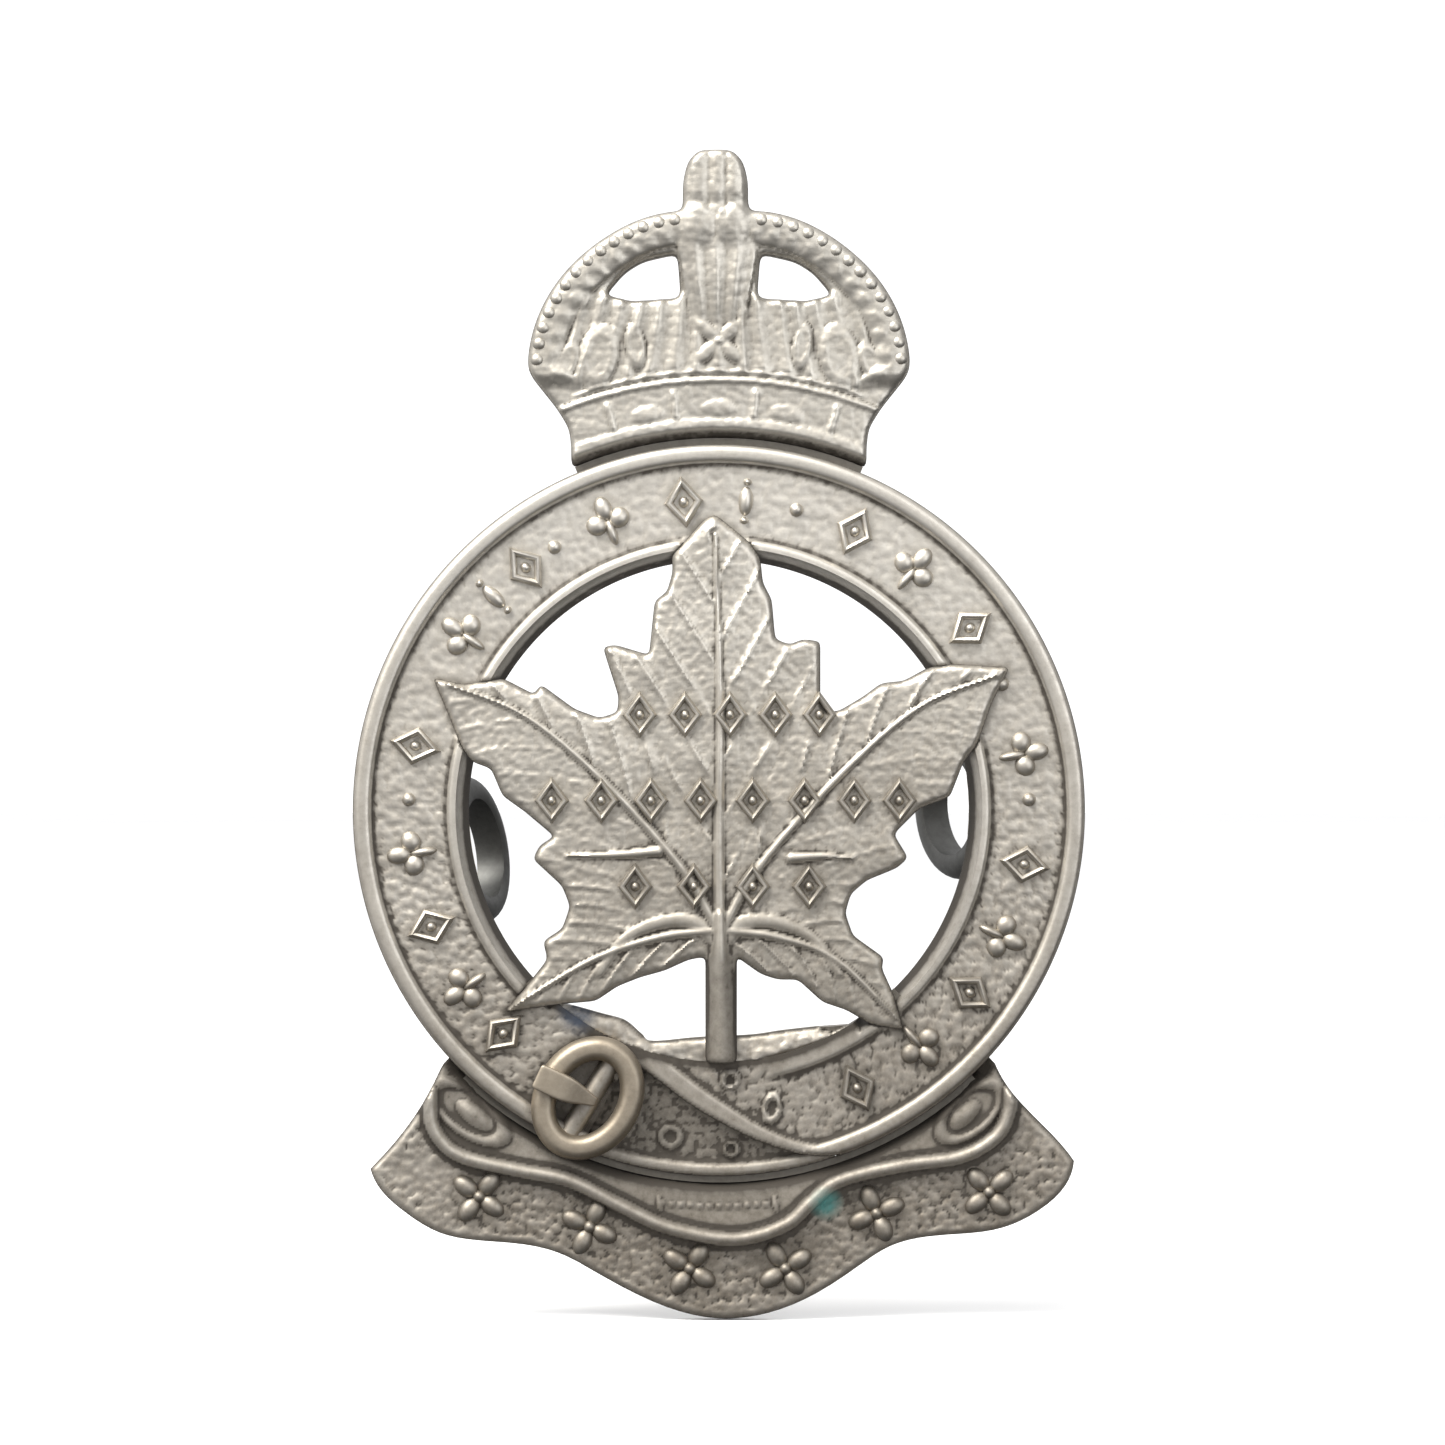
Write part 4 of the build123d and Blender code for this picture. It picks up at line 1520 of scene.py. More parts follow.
@dataclass
class MapleLeaf:
    """The leaf, with ribs, side veins, puckered blade and stalk."""

    metal: bpy.types.Material
    seat: float = 1.2
    blade: float = 0.78
    pitch: float = 0.095
    ribs: Sequence[Line] = (
        ((0.05, -5.5), (0.0, -1.0), (0.05, 5.0), (-0.15, 12.2)),
        ((0.05, -5.5), (-1.6, -2.6), (-5.2, 1.4), (-8.6, 4.2), (-12.0, 5.6)),
        ((0.05, -5.5), (1.7, -2.6), (5.4, 1.6), (8.9, 4.6), (12.3, 6.0)),
        ((-0.1, -5.3), (-2.6, -5.6), (-5.6, -6.6), (-9.0, -8.6)),
        ((0.2, -5.3), (2.6, -5.6), (5.2, -6.6), (7.9, -9.2)))
    rib_width: Sequence[float] = (0.27, 0.24, 0.24, 0.24, 0.24)
    vein_gaps: Sequence[float] = (2.7, 2.4, 2.4, 1.5, 1.5)
    vein_angle: float = 31.0
    plain_side: Sequence[float] = (0.0, 1.0, -1.0, -0.8, 0.8)
    creases: Sequence[Line] = (
        ((-2.7, -1.8), (-4.5, -1.95), (-6.7, -2.0)), ((3.2, -2.1), (4.6, -2.0), (5.9, -2.1)))
    base_fold: Line = ((0.3, -5.6), (1.1, -4.95), (2.6, -4.95), (4.2, -5.7), (5.3, -7.2))
    stalk: Line = ((0.05, -4.6), (0.05, -7.5), (0.12, -11.3))
    rows: Sequence[tuple[float, Sequence[float]]] = (
        (4.25, (-3.5, -1.5, 0.5, 2.5, 4.45)), (0.45, (-7.4, -5.2, -3.0, -0.8, 1.5, 3.8, 6.0, 8.0)),
        (-3.35, (-3.7, -1.1, 1.5, 4.0)))
    grain: Grain = field(default_factory=lambda: Grain(21, 0.24))
    sway: Grain = field(default_factory=lambda: Grain(22, 1.9))

    def __post_init__(self) -> None:
        """Read the leaf's outline from the frame."""
        self.outline = Outline.of_back("maple_leaf", self.seat).softened(0.15, 0.15)
        self.marks = [(x, z, 0.0) for z, row in self.rows for x in row]

    def feathered(self, x: np.ndarray, z: np.ndarray) -> np.ndarray:
        """Return the blade's rise between side veins: a climb to each thin vein and a drop behind it.

        Args:
            x: places to the right.
            z: places up.

        Returns:
            The rise.
        """
        nearest, second = np.full(x.shape, 9.0), np.full(x.shape, 9.0)
        lift = np.zeros(x.shape)
        for rib, gap, plain in zip(self.ribs, self.vein_gaps, self.plain_side):
            line = curve_through(rib, 6)
            length = np.hypot(*np.diff(line, axis=0).T).sum()
            near, share, left = Stroke(line, 0.3, 0.1).measure(x, z)
            phase = (share * length - near / math.tan(math.radians(self.vein_angle))) / gap + 0.45 * left
            climb = phase - np.floor(phase)
            here = 0.07 * climb * rise(1.0 - climb, 0.0, 0.3) + 0.1 * boss((climb - 0.78) / (0.17 / gap))
            here = here * (1.0 - 0.8 * np.maximum(plain * np.where(left, 1.0, -1.0), 0.0))
            closer = near < nearest
            second = np.where(closer, nearest, np.minimum(second, near))
            lift = np.where(closer, here * rise(near, 0.05, 0.4), lift)
            nearest = np.where(closer, near, nearest)
        return lift * rise(second - nearest, 0.0, 0.5)

    def front(self, x: np.ndarray, z: np.ndarray) -> np.ndarray:
        """Return the front's depth.

        Args:
            x: places to the right.
            z: places up.

        Returns:
            The depths.
        """
        inside = self.outline.inside(x, z)
        plain = 0.8 * halo(x, z, self.marks, (0.9, 1.2))
        lift = self.feathered(x, z) * rise(inside, 0.0, 0.35) * rise(z, -10.5, -6.5) * (1.0 - plain)
        for rib, width in zip(self.ribs, self.rib_width):
            lift = np.maximum(lift, Stroke(curve_through(rib, 6), width, 0.1, 0.27).raised(x, z))
        for line in self.creases:
            lift = np.maximum(lift, Stroke(curve_through(line, 4), 0.26, 0.1, 0.26).raised(x, z))
        for side in (-1, 1):
            fold = np.array(self.base_fold) * (side, 1)
            fold[0, 0] += 0.1
            lift = np.maximum(lift, Stroke(curve_through(fold), 0.4, 0.2, 0.21).raised(x, z))
        stalk = Stroke(self.stalk, 0.40, 0.8, 0.62, 2.6)
        on_stalk = rise(-z, 6.0, 8.0) * (np.abs(x) < 1.1)
        lift = np.maximum(lift * (1.0 - on_stalk), stalk.raised(x, z))
        fall = 0.24 * np.clip((np.hypot(x, z + 1.0) - 5.0) / 8.5, 0.0, 1.0)
        depth = self.seat + self.blade + lift - fall * (1.0 - on_stalk) - 0.25 * on_stalk
        depth += self.grain.pebbles(x, z) * 0.045 * (1.0 - rise(lift, 0.05, 0.2)) * (1.0 - on_stalk)
        depth += self.sway.drift(x, z) * 0.05
        return depth - rolled(inside, 0.32)

    def back(self, x: np.ndarray, z: np.ndarray) -> np.ndarray:
        """Return the back's depth: flat at the edge, hollow within, the ribs showing as grooves.

        Args:
            x: places to the right.
            z: places up.

        Returns:
            The depths.
        """
        inside = self.outline.inside(x, z)
        grooves = np.zeros(x.shape)
        for rib, width in zip(self.ribs, self.rib_width):
            groove = Stroke(curve_through(rib, 6), width + 0.1, 0.15, 0.16)
            grooves = np.maximum(grooves, groove.raised(x, z))
        return self.seat + 0.2 * rise(inside, 0.25, 1.3) + grooves * rise(inside, 0.2, 0.6)

    def dirt_and_shade(self, x: np.ndarray, z: np.ndarray) -> np.ndarray:
        """Return painted shade low down on the leaf, painted shadow at its edge and round the lozenges, and a
        darker stalk.

        Args:
            x: places to the right.
            z: places up.

        Returns:
            The added painted shade.
        """
        # Painted shadow round the lozenges and at the edge, painted shade low down, and a darker stalk.
        marks = halo(x, z, self.marks, (0.68, 0.95))
        rim = 1.0 - rise(self.outline.inside(x, z), 0.0, 0.3)
        stalk = 0.42 * rise(-z, 6.5, 7.5) * (np.abs(x) < 1.1)
        return 0.12 * rise(-z, -2.0, 8.0) + 0.1 * rim + 0.3 * marks + stalk

    def build(self) -> None:
        """Make and dress the leaf and its rows of small lozenges."""
        leaf = StruckSheet("leaf_blade", self.outline, self.pitch, self.front, self.back, self.dirt_and_shade).make()
        dress(leaf, self.metal, Slot.STRUCK, "maple_leaf")
        model = Ornament(height=0.34, stroke=0.36).make(Motif.LOZENGE, 2.1, 1.55)
        places = [spot(x, z, self.surface(x, z), turn) for x, z, turn in self.marks]
        made = copies(model, places, "leaf_lozenges")
        smooth_shade(made, 40.0)
        dress(made, self.metal, Slot.STRUCK)

    def surface(self, x: float, z: float) -> float:
        """Return the depth at which a small device sits in the blade."""
        aside, up = np.array([0.0, 0.5, -0.5, 0.0, 0.0]), np.array([0.0, 0.0, 0.0, 0.7, -0.7])
        return float(np.median(self.front(x + aside, z + up))) + 0.02


# ---------------------------------------------------------------- crown


@dataclass
class Crown:
    """The crown: pearled arches over a fluted cap, a jewelled circlet, and the orb and cross."""

    metal: bpy.types.Material
    pitch: float = 0.085
    level: float = 1.05
    pearl: float = 0.31
    pearl_gap: float = 0.72
    circlet: tuple[float, float] = (16.9, 19.25)
    arch_centre: float = 19.0
    window_reach: float = 6.8
    window_foot: float = 22.3
    cross: float = 20.85
    loops: Sequence[tuple[float, float, float, float, float]] = (
        (5.35, 20.15, 0.9, 1.55, 12.0), (6.75, 19.9, 0.5, 1.0, 24.0), (3.7, 20.6, 0.45, 1.1, -8.0))
    finial_ridges: Line = ((-0.75, 0.36), (0.1, 0.3), (0.9, 0.36))
    jewels: Sequence[float] = (-10.3, 0.0, 9.6)
    bars: Sequence[float] = (-15.4, -6.2, 5.1, 16.4)
    grain: Grain = field(default_factory=lambda: Grain(31, 0.3))
    sway: Grain = field(default_factory=lambda: Grain(32, 1.2))

    def __post_init__(self) -> None:
        """Read the crown's outline and height from the frame."""
        self.outline = Outline.of_back("crown", 0.2).softened(0.28, 0.2)
        low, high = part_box("crown")
        self.half = (high.x - low.x) / 2 / MM
        self.rim = self.outline.part(self.on_rim)

    def on_rim(self, middles: np.ndarray) -> np.ndarray:
        """Return which edges of the outline lie outside the two windows."""
        r = np.hypot(middles[:, 0], middles[:, 1] - self.arch_centre)
        return (r >= self.window_reach) | (middles[:, 1] <= self.window_foot)

    def swell(self, x: np.ndarray) -> np.ndarray:
        """Return how far the crown bulges forward."""
        return 0.34 * np.sqrt(np.clip(1.0 - (x / (self.half + 0.6)) ** 2, 0.0, 1.0))

    def front(self, x: np.ndarray, z: np.ndarray) -> np.ndarray:
        """Return the front's depth.

        Args:
            x: places to the right.
            z: places up.

        Returns:
            The depths.
        """
        inside = self.outline.inside(x, z)
        rim = self.rim.inside(x, z)
        r = np.hypot(x, z)
        surface = self.level + self.swell(x)
        depth = surface + self.sway.drift(x, z) * 0.03
        above = rise(z, 18.6, 19.4)
        column = self.column(x, z)
        arch = boss((rim - 0.66) / 0.9) * above * (np.abs(x) > 1.0)
        ribs = 0.03 * np.cos(np.arctan2(x, z - self.arch_centre) * 54.0)
        ribs *= rise(rim, 0.75, 0.95) * (1.0 - rise(rim, 1.35, 1.6))
        folds = self.folds(x, z) * rise(rim, 1.2, 1.6) * rise(r, 19.3, 19.8) * (1.0 - rise(z, 22.8, 23.2))
        crest = rise(z, 24.3, 26.0)
        middle = column * (1.0 - crest) + self.finial(x, z) * crest
        depth += np.maximum.reduce([folds, arch * (0.3 + ribs), middle])
        depth = np.maximum(depth, surface + self.devices(x, z) * rise(r, 19.3, 19.6))
        depth += self.band(x, z, r)
        depth -= 0.3 * (1.0 - rise(r, 16.6, 17.0))
        depth += self.grain.pebbles(x, z) * 0.03
        return depth - rolled(inside, 0.3)

    def folds(self, x: np.ndarray, z: np.ndarray) -> np.ndarray:
        """Return the cap's flutes, which gather towards the top.

        Args:
            x: places to the right.
            z: places up.

        Returns:
            The flutes' heights.
        """
        spread = x / (1.0 + 0.055 * (22.5 - z)) + 0.16 * self.sway.drift(x * 1.4, z * 0.5)
        ridges = (0.5 + 0.5 * np.cos(spread * 2.0 * math.pi / 0.86)) ** 1.3
        return 0.19 * ridges * (0.75 + 0.25 * self.sway.drift(x, z))

    def column(self, x: np.ndarray, z: np.ndarray) -> np.ndarray:
        """Return the middle arch: fluted, and wider towards the orb.

        Args:
            x: places to the right.
            z: places up.

        Returns:
            The arch's heights.
        """
        half = 1.2 + 0.62 * rise(z, 21.2, 25.5)
        share = (x + 0.05) / half
        flutes = 0.5 + 0.5 * np.cos(share * math.pi * 3.6 + 0.5)
        lift = 0.12 + 0.16 * flutes + 0.16 * rise(z, 21.8, 24.0)
        return lift * boss(np.clip(np.abs(share), 0.0, 1.0)) ** 0.5 * rise(z, 20.6, 22.6)

    def devices(self, x: np.ndarray, z: np.ndarray) -> np.ndarray:
        """Return the cross and the looped flowers that stand on the circlet.

        Args:
            x: places to the right.
            z: places up.

        Returns:
            The devices' heights.
        """
        lift = np.zeros(x.shape)
        for turn in (45.0, 135.0, 225.0, 315.0):
            a = math.radians(turn)
            seat = (math.sin(a) * 0.72, self.cross + math.cos(a) * 0.66)
            petal = oval(x, z, seat, (0.34, 0.74), -turn)
            lift = np.maximum(lift, 0.2 * boss(petal) ** 0.8)
        lift = np.maximum(lift, 0.25 * boss(oval(x, z, (0.0, self.cross), (0.27, 0.27))))
        for side in (-1.0, 1.0):
            for px, pz, wide, tall, turn in self.loops:
                share = oval(x, z, (side * px, pz), (wide, tall), side * turn)
                lift = np.maximum(lift, 0.21 * boss(share) ** 0.8 - 0.09 * boss(share / 0.6))
        return lift

    def band(self, x: np.ndarray, z: np.ndarray, r: np.ndarray) -> np.ndarray:
        """Return the circlet: fillets, jewels and short bars between them, all worn low.

        Args:
            x: places to the right.
            z: places up.
            r: the places' distances from the ring's middle.

        Returns:
            The circlet's heights.
        """
        low, high = self.circlet
        on = rise(r, low - 0.12, low + 0.1) * (1.0 - rise(r, high - 0.05, high + 0.12))
        upper = boss((r - high + 0.16) / 0.14) + boss((r - high - 0.22) / 0.13)
        lift = 0.08 * on + 0.08 * boss((r - low - 0.24) / 0.3) + 0.08 * upper
        along = np.degrees(np.arctan2(x, z))
        for middle in self.jewels:
            share = np.hypot((along - middle) / 2.5, (r - 17.85) / 0.4)
            lift = np.maximum(lift, 0.08 * on + 0.075 * boss(share))
        for middle in self.bars:
            bar = 1.0 - rise(np.abs(along - middle), 0.25, 0.6)
            bar *= 1.0 - rise(np.abs(r - 18.1), 0.5, 0.75)
            lift = np.maximum(lift, 0.08 * on + 0.1 * bar)
        return lift * (1.0 - rise(np.abs(x), 6.1, 6.6) * (r > high))

    def finial(self, x: np.ndarray, z: np.ndarray) -> np.ndarray:
        """Return the orb under a broad cross, worn nearly to one block.

        Args:
            x: places to the right.
            z: places up.

        Returns:
            The finial's heights.
        """
        across = x + 0.15
        on = np.abs(across) < 1.8
        block = 0.4 * np.sqrt(np.clip(1.0 - (np.abs(across) / 1.75) ** 4, 0.0, 1.0))
        ridges = 0.09 * sum(boss((across - px) / half) for px, half in self.finial_ridges)
        orbs = [0.12 * boss(oval(x, z, (px, 25.95), (0.8, 0.95))) for px in (-0.9, 0.62)]
        waist = 0.06 * np.exp(-((z - 27.0) / 0.3) ** 2)
        return on * (block + ridges * rise(z, 25.8, 27.4) - waist + np.maximum(*orbs))

    def back(self, x: np.ndarray, z: np.ndarray) -> np.ndarray:
        """Return the back's depth: hollow behind the swell."""
        inside = self.outline.inside(x, z)
        return 0.2 + 0.45 * rise(inside, 0.3, 1.1) + 0.03 * self.sway.drift(x, z)

    def dirt_and_shade(self, x: np.ndarray, z: np.ndarray) -> np.ndarray:
        """Return painted shadow in the groove at the crown's foot, and a slightly darker band across the cap.
        """
        # A slightly darker band across the cap.
        below_windows = 0.12 * rise(z, 19.4, 20.4) * (1.0 - rise(z, 22.0, 23.0))
        # Painted shadow in the groove at the crown's foot.
        return 0.9 * (1.0 - rise(np.hypot(x, z), 16.75, 17.05)) + below_windows

    def make_pearls(self) -> bpy.types.Object:
        """Make the row of pearls along both arches.

        Returns:
            The pearls, as one piece.
        """
        places = []
        for side in (-1.0, 1.0):
            ends = self.rim.starts
            line = ends[(ends[:, 0] * side > 1.9) & (ends[:, 1] > 19.6)]
            line = line[np.argsort(np.arctan2(line[:, 1] - self.arch_centre, line[:, 0] * side))]
            inset = line - np.array([0.0, self.arch_centre])
            inset *= 1.0 - 0.42 / np.hypot(*inset.T)[:, None]
            line = inset + np.array([0.0, self.arch_centre])
            run = np.concatenate([[0.0], np.cumsum(np.hypot(*np.diff(line, axis=0).T))])
            for at in np.arange(0.3, run[-1], self.pearl_gap):
                x, z = float(np.interp(at, run, line[:, 0])), float(np.interp(at, run, line[:, 1]))
                places.append(spot(x, z, self.level + float(self.swell(x)) + 0.16))
        model = Ornament(height=0.8 * self.pearl).make(Motif.PELLET, 2 * self.pearl, 2 * self.pearl)
        made = copies(model, places, "crown_pearls")
        smooth_shade(made, 60.0)
        return made

    def build(self) -> None:
        """Make and dress the crown and its pearls."""
        sheet = StruckSheet("crown_plate", self.outline, self.pitch, self.front, self.back, self.dirt_and_shade)
        dress(sheet.make(), self.metal, Slot.STRUCK, "crown")
        dress(self.make_pearls(), self.metal, Slot.STRUCK)


# ---------------------------------------------------------------- title scroll


@dataclass
class TitleScroll:
    """The scroll with its two curled ends, rolled upper edge and matted face."""

    metal: bpy.types.Material
    pitch: float = 0.09
    level: float = 1.05
    lip: Line = (
        (-12.85, -12.4), (-12.65, -14.1), (-11.5, -15.3), (-8.9, -15.95), (-6.65, -16.4), (-4.4, -17.5),
        (-2.2, -18.5), (0.7, -19.0), (2.9, -18.4), (4.15, -17.3), (5.4, -16.4), (8.1, -15.75),
        (10.75, -15.35), (12.3, -14.45), (12.85, -13.4), (12.95, -12.4))
    curls: Sequence[tuple[tuple[float, float], tuple[float, float], float]] = (
        ((-11.15, -13.35), (2.1, 1.0), -37.0), ((11.2, -13.35), (1.85, 0.95), 42.0))
    flowers: Sequence[tuple[float, float, float]] = (
        (-10.65, -17.15, -8.0), (-5.75, -18.5, -20.0), (-1.3, -20.35, -12.0), (2.95, -20.35, 12.0),
        (7.0, -17.9, 22.0), (12.0, -16.95, 4.0))
    grain: Grain = field(default_factory=lambda: Grain(41, 0.33))
    sway: Grain = field(default_factory=lambda: Grain(42, 2.0))

    def __post_init__(self) -> None:
        """Read the scroll's outline from the frame."""
        self.outline = Outline.of_back("title_scroll", 0.2)
        self.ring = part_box("garter_strap")[1].x / MM
        self.lip_stroke = Stroke(curve_through(self.lip), 0.36, 0.36, 0.55)

    def front(self, x: np.ndarray, z: np.ndarray) -> np.ndarray:
        """Return the front's depth.

        Args:
            x: places to the right.
            z: places up.

        Returns:
            The depths.
        """
        inside = self.outline.inside(x, z)
        r = np.hypot(x, z)
        near = self.lip_stroke.measure(x, z)[0]
        line = curve_through(self.lip)
        below = z < np.interp(x, line[:, 0], line[:, 1])
        face = rise(near, 0.2, 0.45) * below
        depth = self.level + 0.3 * (1.0 - face) - 0.12 * rise(near, 0.3, 1.6) * (~below)
        depth += self.lip_stroke.raised(x, z) + self.beads(x, z)
        depth += 0.06 * boss((inside - 0.2) / 0.2) * below
        depth += self.grain.pebbles(x, z) * 0.11 * face * rise(inside, 0.2, 0.45)
        depth += self.sway.drift(x, z) * 0.05
        depth = np.maximum(depth, self.level + self.rolls(x, z))
        depth -= 0.35 * (1.0 - rise(r, self.ring + 0.25, self.ring + 0.75))
        return depth - rolled(inside, 0.28)

    def close_ends(self, blank: bpy.types.Object) -> None:
        """Draw the blank in to the ring past the ends of the solder seam.

        Args:
            blank: the scroll's flat blank.
        """
        points = points_of(blank)
        r = np.hypot(points[:, 0], points[:, 2])
        below = np.degrees(np.arctan2(np.abs(points[:, 0]), -points[:, 2]))
        share = rise(below, 40.5, 43.0) * (r < self.ring + 0.36)
        points[:, (0, 2)] *= (1.0 + share * ((self.ring + 0.01) / r - 1.0))[:, None]
        move_points(blank, points)

    def rolls(self, x: np.ndarray, z: np.ndarray) -> np.ndarray:
        """Return the curled ends: a thin looped edge with the roll in it, fuller at the ring's foot.

        Args:
            x: places to the right.
            z: places up.

        Returns:
            The rolls' heights.
        """
        lift = np.zeros(x.shape)
        for (cx, cz), (long, wide), turn in self.curls:
            share = oval(x, z, (cx, cz), (long, wide), turn)
            edge = 0.46 * boss((share - 0.9) / 0.24)
            inward = math.copysign(0.45, -cx)
            roll = oval(x, z, (cx + inward, cz - 0.3), (long * 0.62, wide * 0.6), turn)
            floor = (0.16 - 0.2 * share) * (share < 0.9) + 0.34 * boss(roll) ** 1.4
            lift = np.maximum.reduce([lift, edge, floor])
        return lift

    def beads(self, x: np.ndarray, z: np.ndarray) -> np.ndarray:
        """Return the row of beads and the two ticks between the ring's foot and the rolled edge.

        Args:
            x: places to the right.
            z: places up.

        Returns:
            The beads' heights.
        """
        level = -17.55 + 0.02 * x * x
        row = boss((z - level) / 0.14) * (0.5 + 0.5 * np.cos(x * 2 * math.pi / 0.42)) * (np.abs(x) < 2.7)
        ticks = [boss(oval(x, z, (tick, -17.45), (0.13, 0.42), 8.0)) for tick in (-2.65, 2.5)]
        return 0.12 * np.maximum.reduce([row, *ticks])

    def back(self, x: np.ndarray, z: np.ndarray) -> np.ndarray:
        """Return the back's depth."""
        return 0.2 + 0.38 * rise(self.outline.inside(x, z), 0.3, 1.0)

    def dirt_and_shade(self, x: np.ndarray, z: np.ndarray) -> np.ndarray:
        """Return painted shadow beside the ring, under the rolled edge and round the flowers, and a darker
        tone over the matted face.

        Args:
            x: places to the right.
            z: places up.

        Returns:
            The added painted shade.
        """
        r = np.hypot(x, z)
        near = self.lip_stroke.measure(x, z)[0]
        # Painted shadow in the groove beside the ring, weaker towards the curled ends.
        groove = 0.85 * (1.0 - rise(r, self.ring + 0.3, self.ring + 1.0))
        groove *= 1.0 - 0.6 * rise(np.abs(x), 10.5, 12.0)
        # Painted shadow under the rolled edge.
        under = 0.5 * (1.0 - rise(near, 0.3, 0.75)) * rise(near, 0.2, 0.38)
        # A darker band between the rolled edge and the ring.
        band = 0.28 * rise(near, 0.35, 0.8) * (z > -19.0) * (r < self.ring + 2.2)
        # An even darkening, and painted shadow round the flowers.
        return groove + under + 0.16 + band + 0.3 * halo(x, z, self.flowers, (1.2, 1.2))

    def build(self) -> None:
        """Make and dress the scroll and its flowers."""
        sheet = StruckSheet("scroll_face", self.outline, self.pitch, self.front, self.back, self.dirt_and_shade)
        blank = sheet.blank()
        self.close_ends(blank)
        scroll = strike(blank, self.front, self.back, self.dirt_and_shade)
        dress(scroll, self.metal, Slot.STRUCK, "title_scroll")
        model = Ornament(height=0.4).make(Motif.FLOWER, 2.15, 2.15)
        places = [spot(x, z, self.level, turn) for x, z, turn in self.flowers]
        made = copies(model, places, "scroll_flowers")
        smooth_shade(made, 50.0)
        dress(made, self.metal, Slot.STRUCK)


# ---------------------------------------------------------------- fixings and studio


@dataclass
class Fixings:
    """The lugs, braze and solder, which keep their CAD shapes."""

    wire: bpy.types.Material
    solder: bpy.types.Material
    braze: bpy.types.Material

    def build(self) -> None:
        """Give each fixing its finish."""
        finishes = {"lug_left": self.wire, "lug_right": self.wire, "lug_brazing": self.braze,
                    "leaf_solder": self.solder, "crown_solder": self.solder, "scroll_solder": self.solder}
        for name, material in finishes.items():
            mesh = frame["nodes"][name].data
            mesh.materials.clear()
            mesh.materials.append(material)
            log.info("%s keeps its shape", name)


@dataclass(frozen=True)
class SoftLight:
    """A square soft light that faces the badge, with its place in metres and its power in watts."""

    name: str
    place: tuple[float, float, float]
    size: float
    power: float
    tint: tuple[float, float, float]

    def hang(self) -> None:
        """Hang the light."""
        lamp = bpy.data.lights.new(self.name, "AREA")
        lamp.size = self.size
        lamp.energy = self.power
        lamp.color = self.tint
        light = bpy.data.objects.new(self.name, lamp)
        light.location = self.place
        light.rotation_euler = (-Vector(self.place)).to_track_quat("-Z", "Y").to_euler()
        bpy.context.scene.collection.objects.link(light)


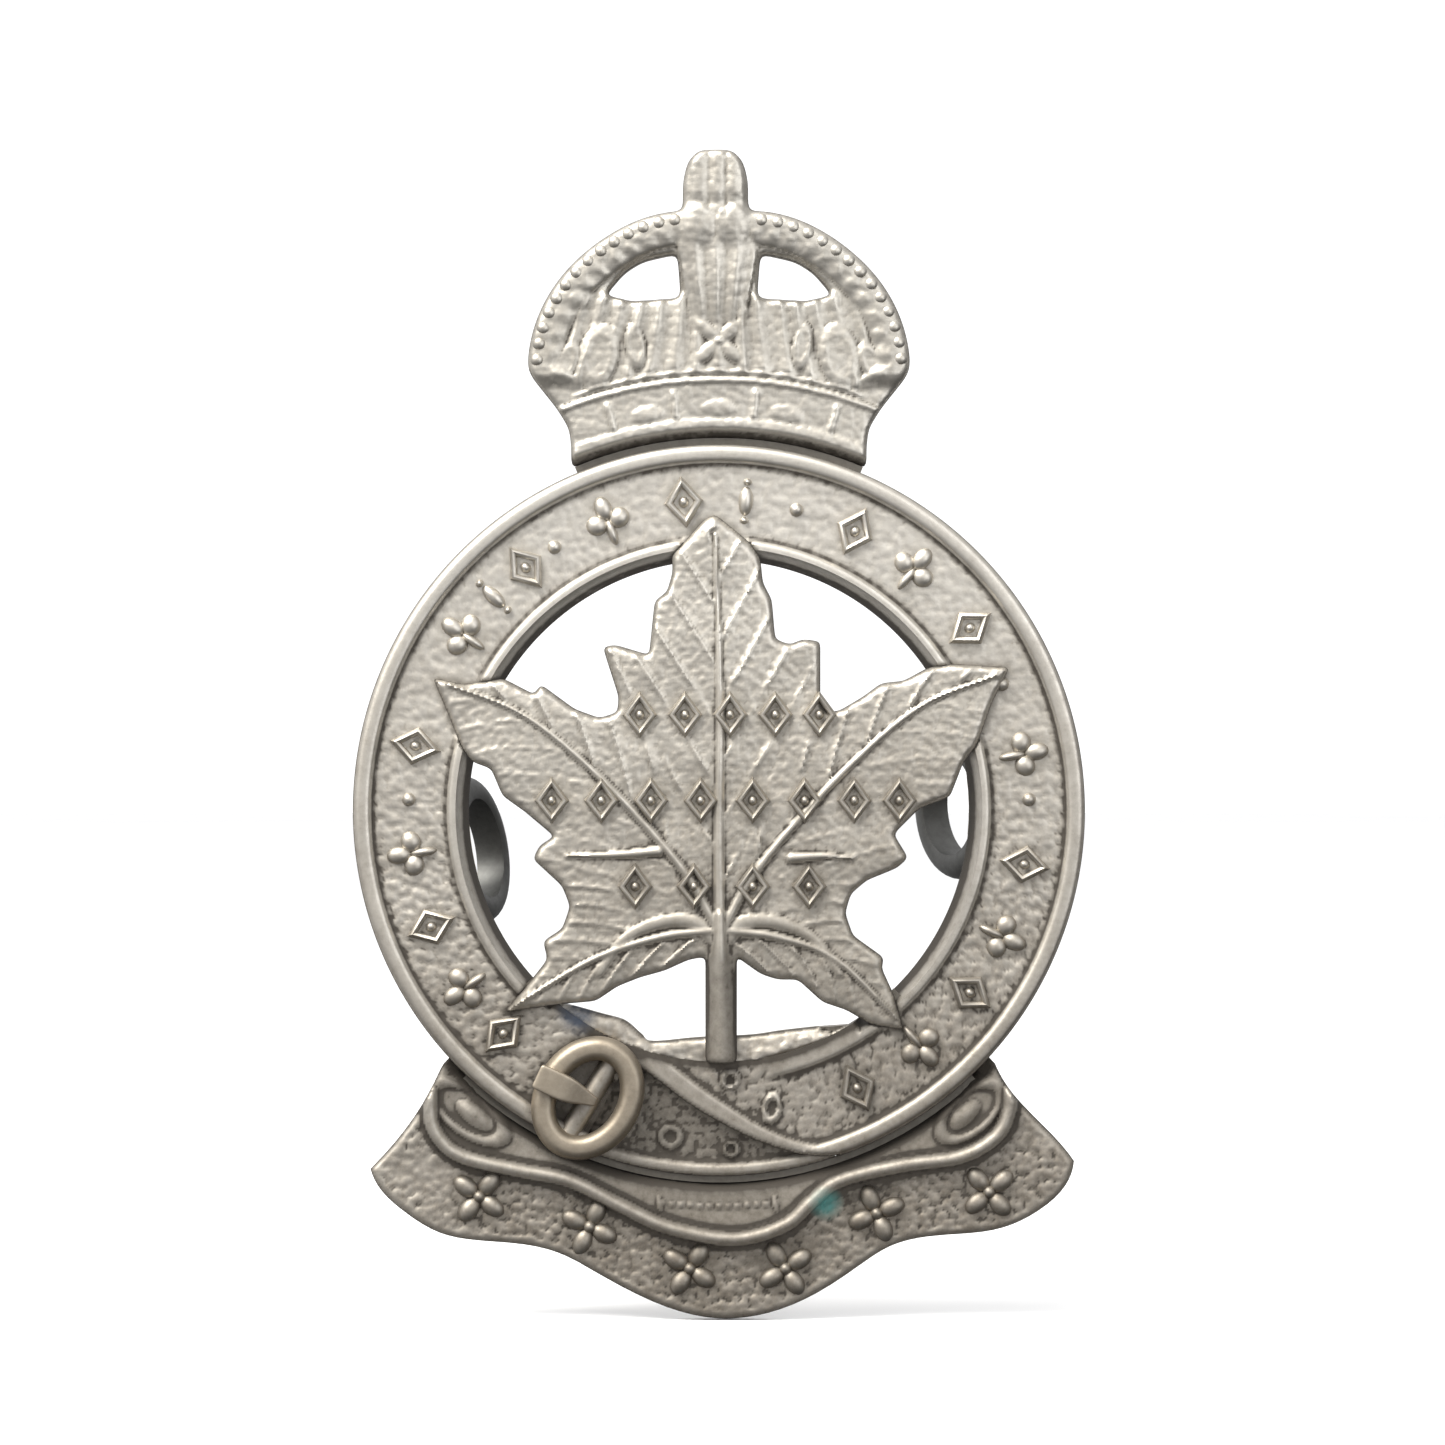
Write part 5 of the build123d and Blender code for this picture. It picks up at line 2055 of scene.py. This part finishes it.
@dataclass
class Studio:
    """A pale floor, soft lights and the camera."""

    view_width: float = 64.45
    lens: float = 150.0
    aim: tuple[float, float] = (0.16, 3.9)
    floor_size: float = 3.0
    upward: tuple[float, float, float] = (-0.4, 0.0, 0.9)
    room_strength: tuple[float, float] = (0.12, 1.0)
    room_tint: Colour = shade(0.98, 0.98, 1.0)
    wall_tint: Colour = shade(1.0, 1.0, 1.0)
    wall_strength: float = 1.25
    lights: Sequence[SoftLight] = (
        SoftLight("key", (-0.16, -0.18, 0.30), 0.24, 3.0, (1.0, 0.98, 0.94)),
        SoftLight("fill", (0.25, -0.35, 0.05), 0.3, 0.8, (0.95, 0.97, 1.0)))

    def make_floor(self) -> None:
        """Lay the floor under the badge's lowest point."""
        clear_selection()
        level = CAD_BOX[0].z - 0.05 * MM
        bpy.ops.mesh.primitive_plane_add(size=self.floor_size, location=(0.0, 0.0, level))
        floor = settle(bpy.context.active_object)
        floor.name = floor.data.name = "floor"
        floor.data.materials.append(PaleFloor().make())
        floor.visible_glossy = False
        floor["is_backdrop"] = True

    def make_world(self) -> None:
        """Fill the room: lighter above and dimmer below on the metal, plain behind it and on the floor."""
        world = bpy.data.worlds.new("room")
        bpy.context.scene.world = world
        bench = NodeBench(world)
        direction = bench.signal("ShaderNodeTexCoord", {}, {}, "Generated")
        above = bench.vector("DOT_PRODUCT", direction, self.upward, "Value")
        dim, light = self.room_strength
        strength = bench.signal("ShaderNodeMapRange", {"interpolation_type": "SMOOTHSTEP"}, {
            "Value": above, "From Min": -0.9, "From Max": 0.9, "To Min": dim, "To Max": light})
        room = bench.signal("ShaderNodeBackground", {}, {"Color": self.room_tint, "Strength": strength})
        wall = bench.signal("ShaderNodeBackground", {}, {
            "Color": self.wall_tint, "Strength": self.wall_strength})
        seen = bench.signal("ShaderNodeLightPath", {}, {}, "Is Camera Ray")
        soft = bench.signal("ShaderNodeLightPath", {}, {}, "Is Diffuse Ray")
        plain = seen.maths("MAXIMUM", seen, soft)
        mix = bench.signal("ShaderNodeMixShader", {}, {0: plain, 1: room, 2: wall})
        bench.node("ShaderNodeOutputWorld", {}, {"Surface": mix})

    def make_camera(self) -> None:
        """Set the camera straight in front."""
        data = bpy.data.cameras.new("camera")
        data.lens = self.lens
        data.clip_start = 0.01
        camera = bpy.data.objects.new("camera", data)
        distance = self.view_width * MM * self.lens / data.sensor_width
        camera.location = (self.aim[0] * MM, -distance, self.aim[1] * MM)
        camera.rotation_euler = (math.pi / 2, 0.0, 0.0)
        bpy.context.scene.collection.objects.link(camera)
        bpy.context.scene.camera = camera

    def build(self) -> None:
        """Set up the room."""
        bpy.context.scene.view_settings.view_transform = "Standard"
        self.make_world()
        self.make_floor()
        for light in self.lights:
            light.hang()
        self.make_camera()


# ---------------------------------------------------------------- the badge


def main() -> None:
    """Build every sub-assembly in order."""
    logging.basicConfig(level=logging.INFO, format="%(message)s")
    Studio().build()
    struck, crown, blade, dull, wire, solder, braze = (finish.make() for finish in FINISHES)
    buckle = Buckle(dull, struck)
    leaf = MapleLeaf(blade)
    GarterRing(struck, leaf.outline, buckle.cover).build()
    buckle.build()
    leaf.build()
    Crown(crown).build()
    TitleScroll(struck).build()
    Fixings(wire, solder, braze).build()
    boxes = [[list(corner) for corner in box] for box in (CAD_BOX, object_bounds())]


if __name__ == "__main__":
    main()
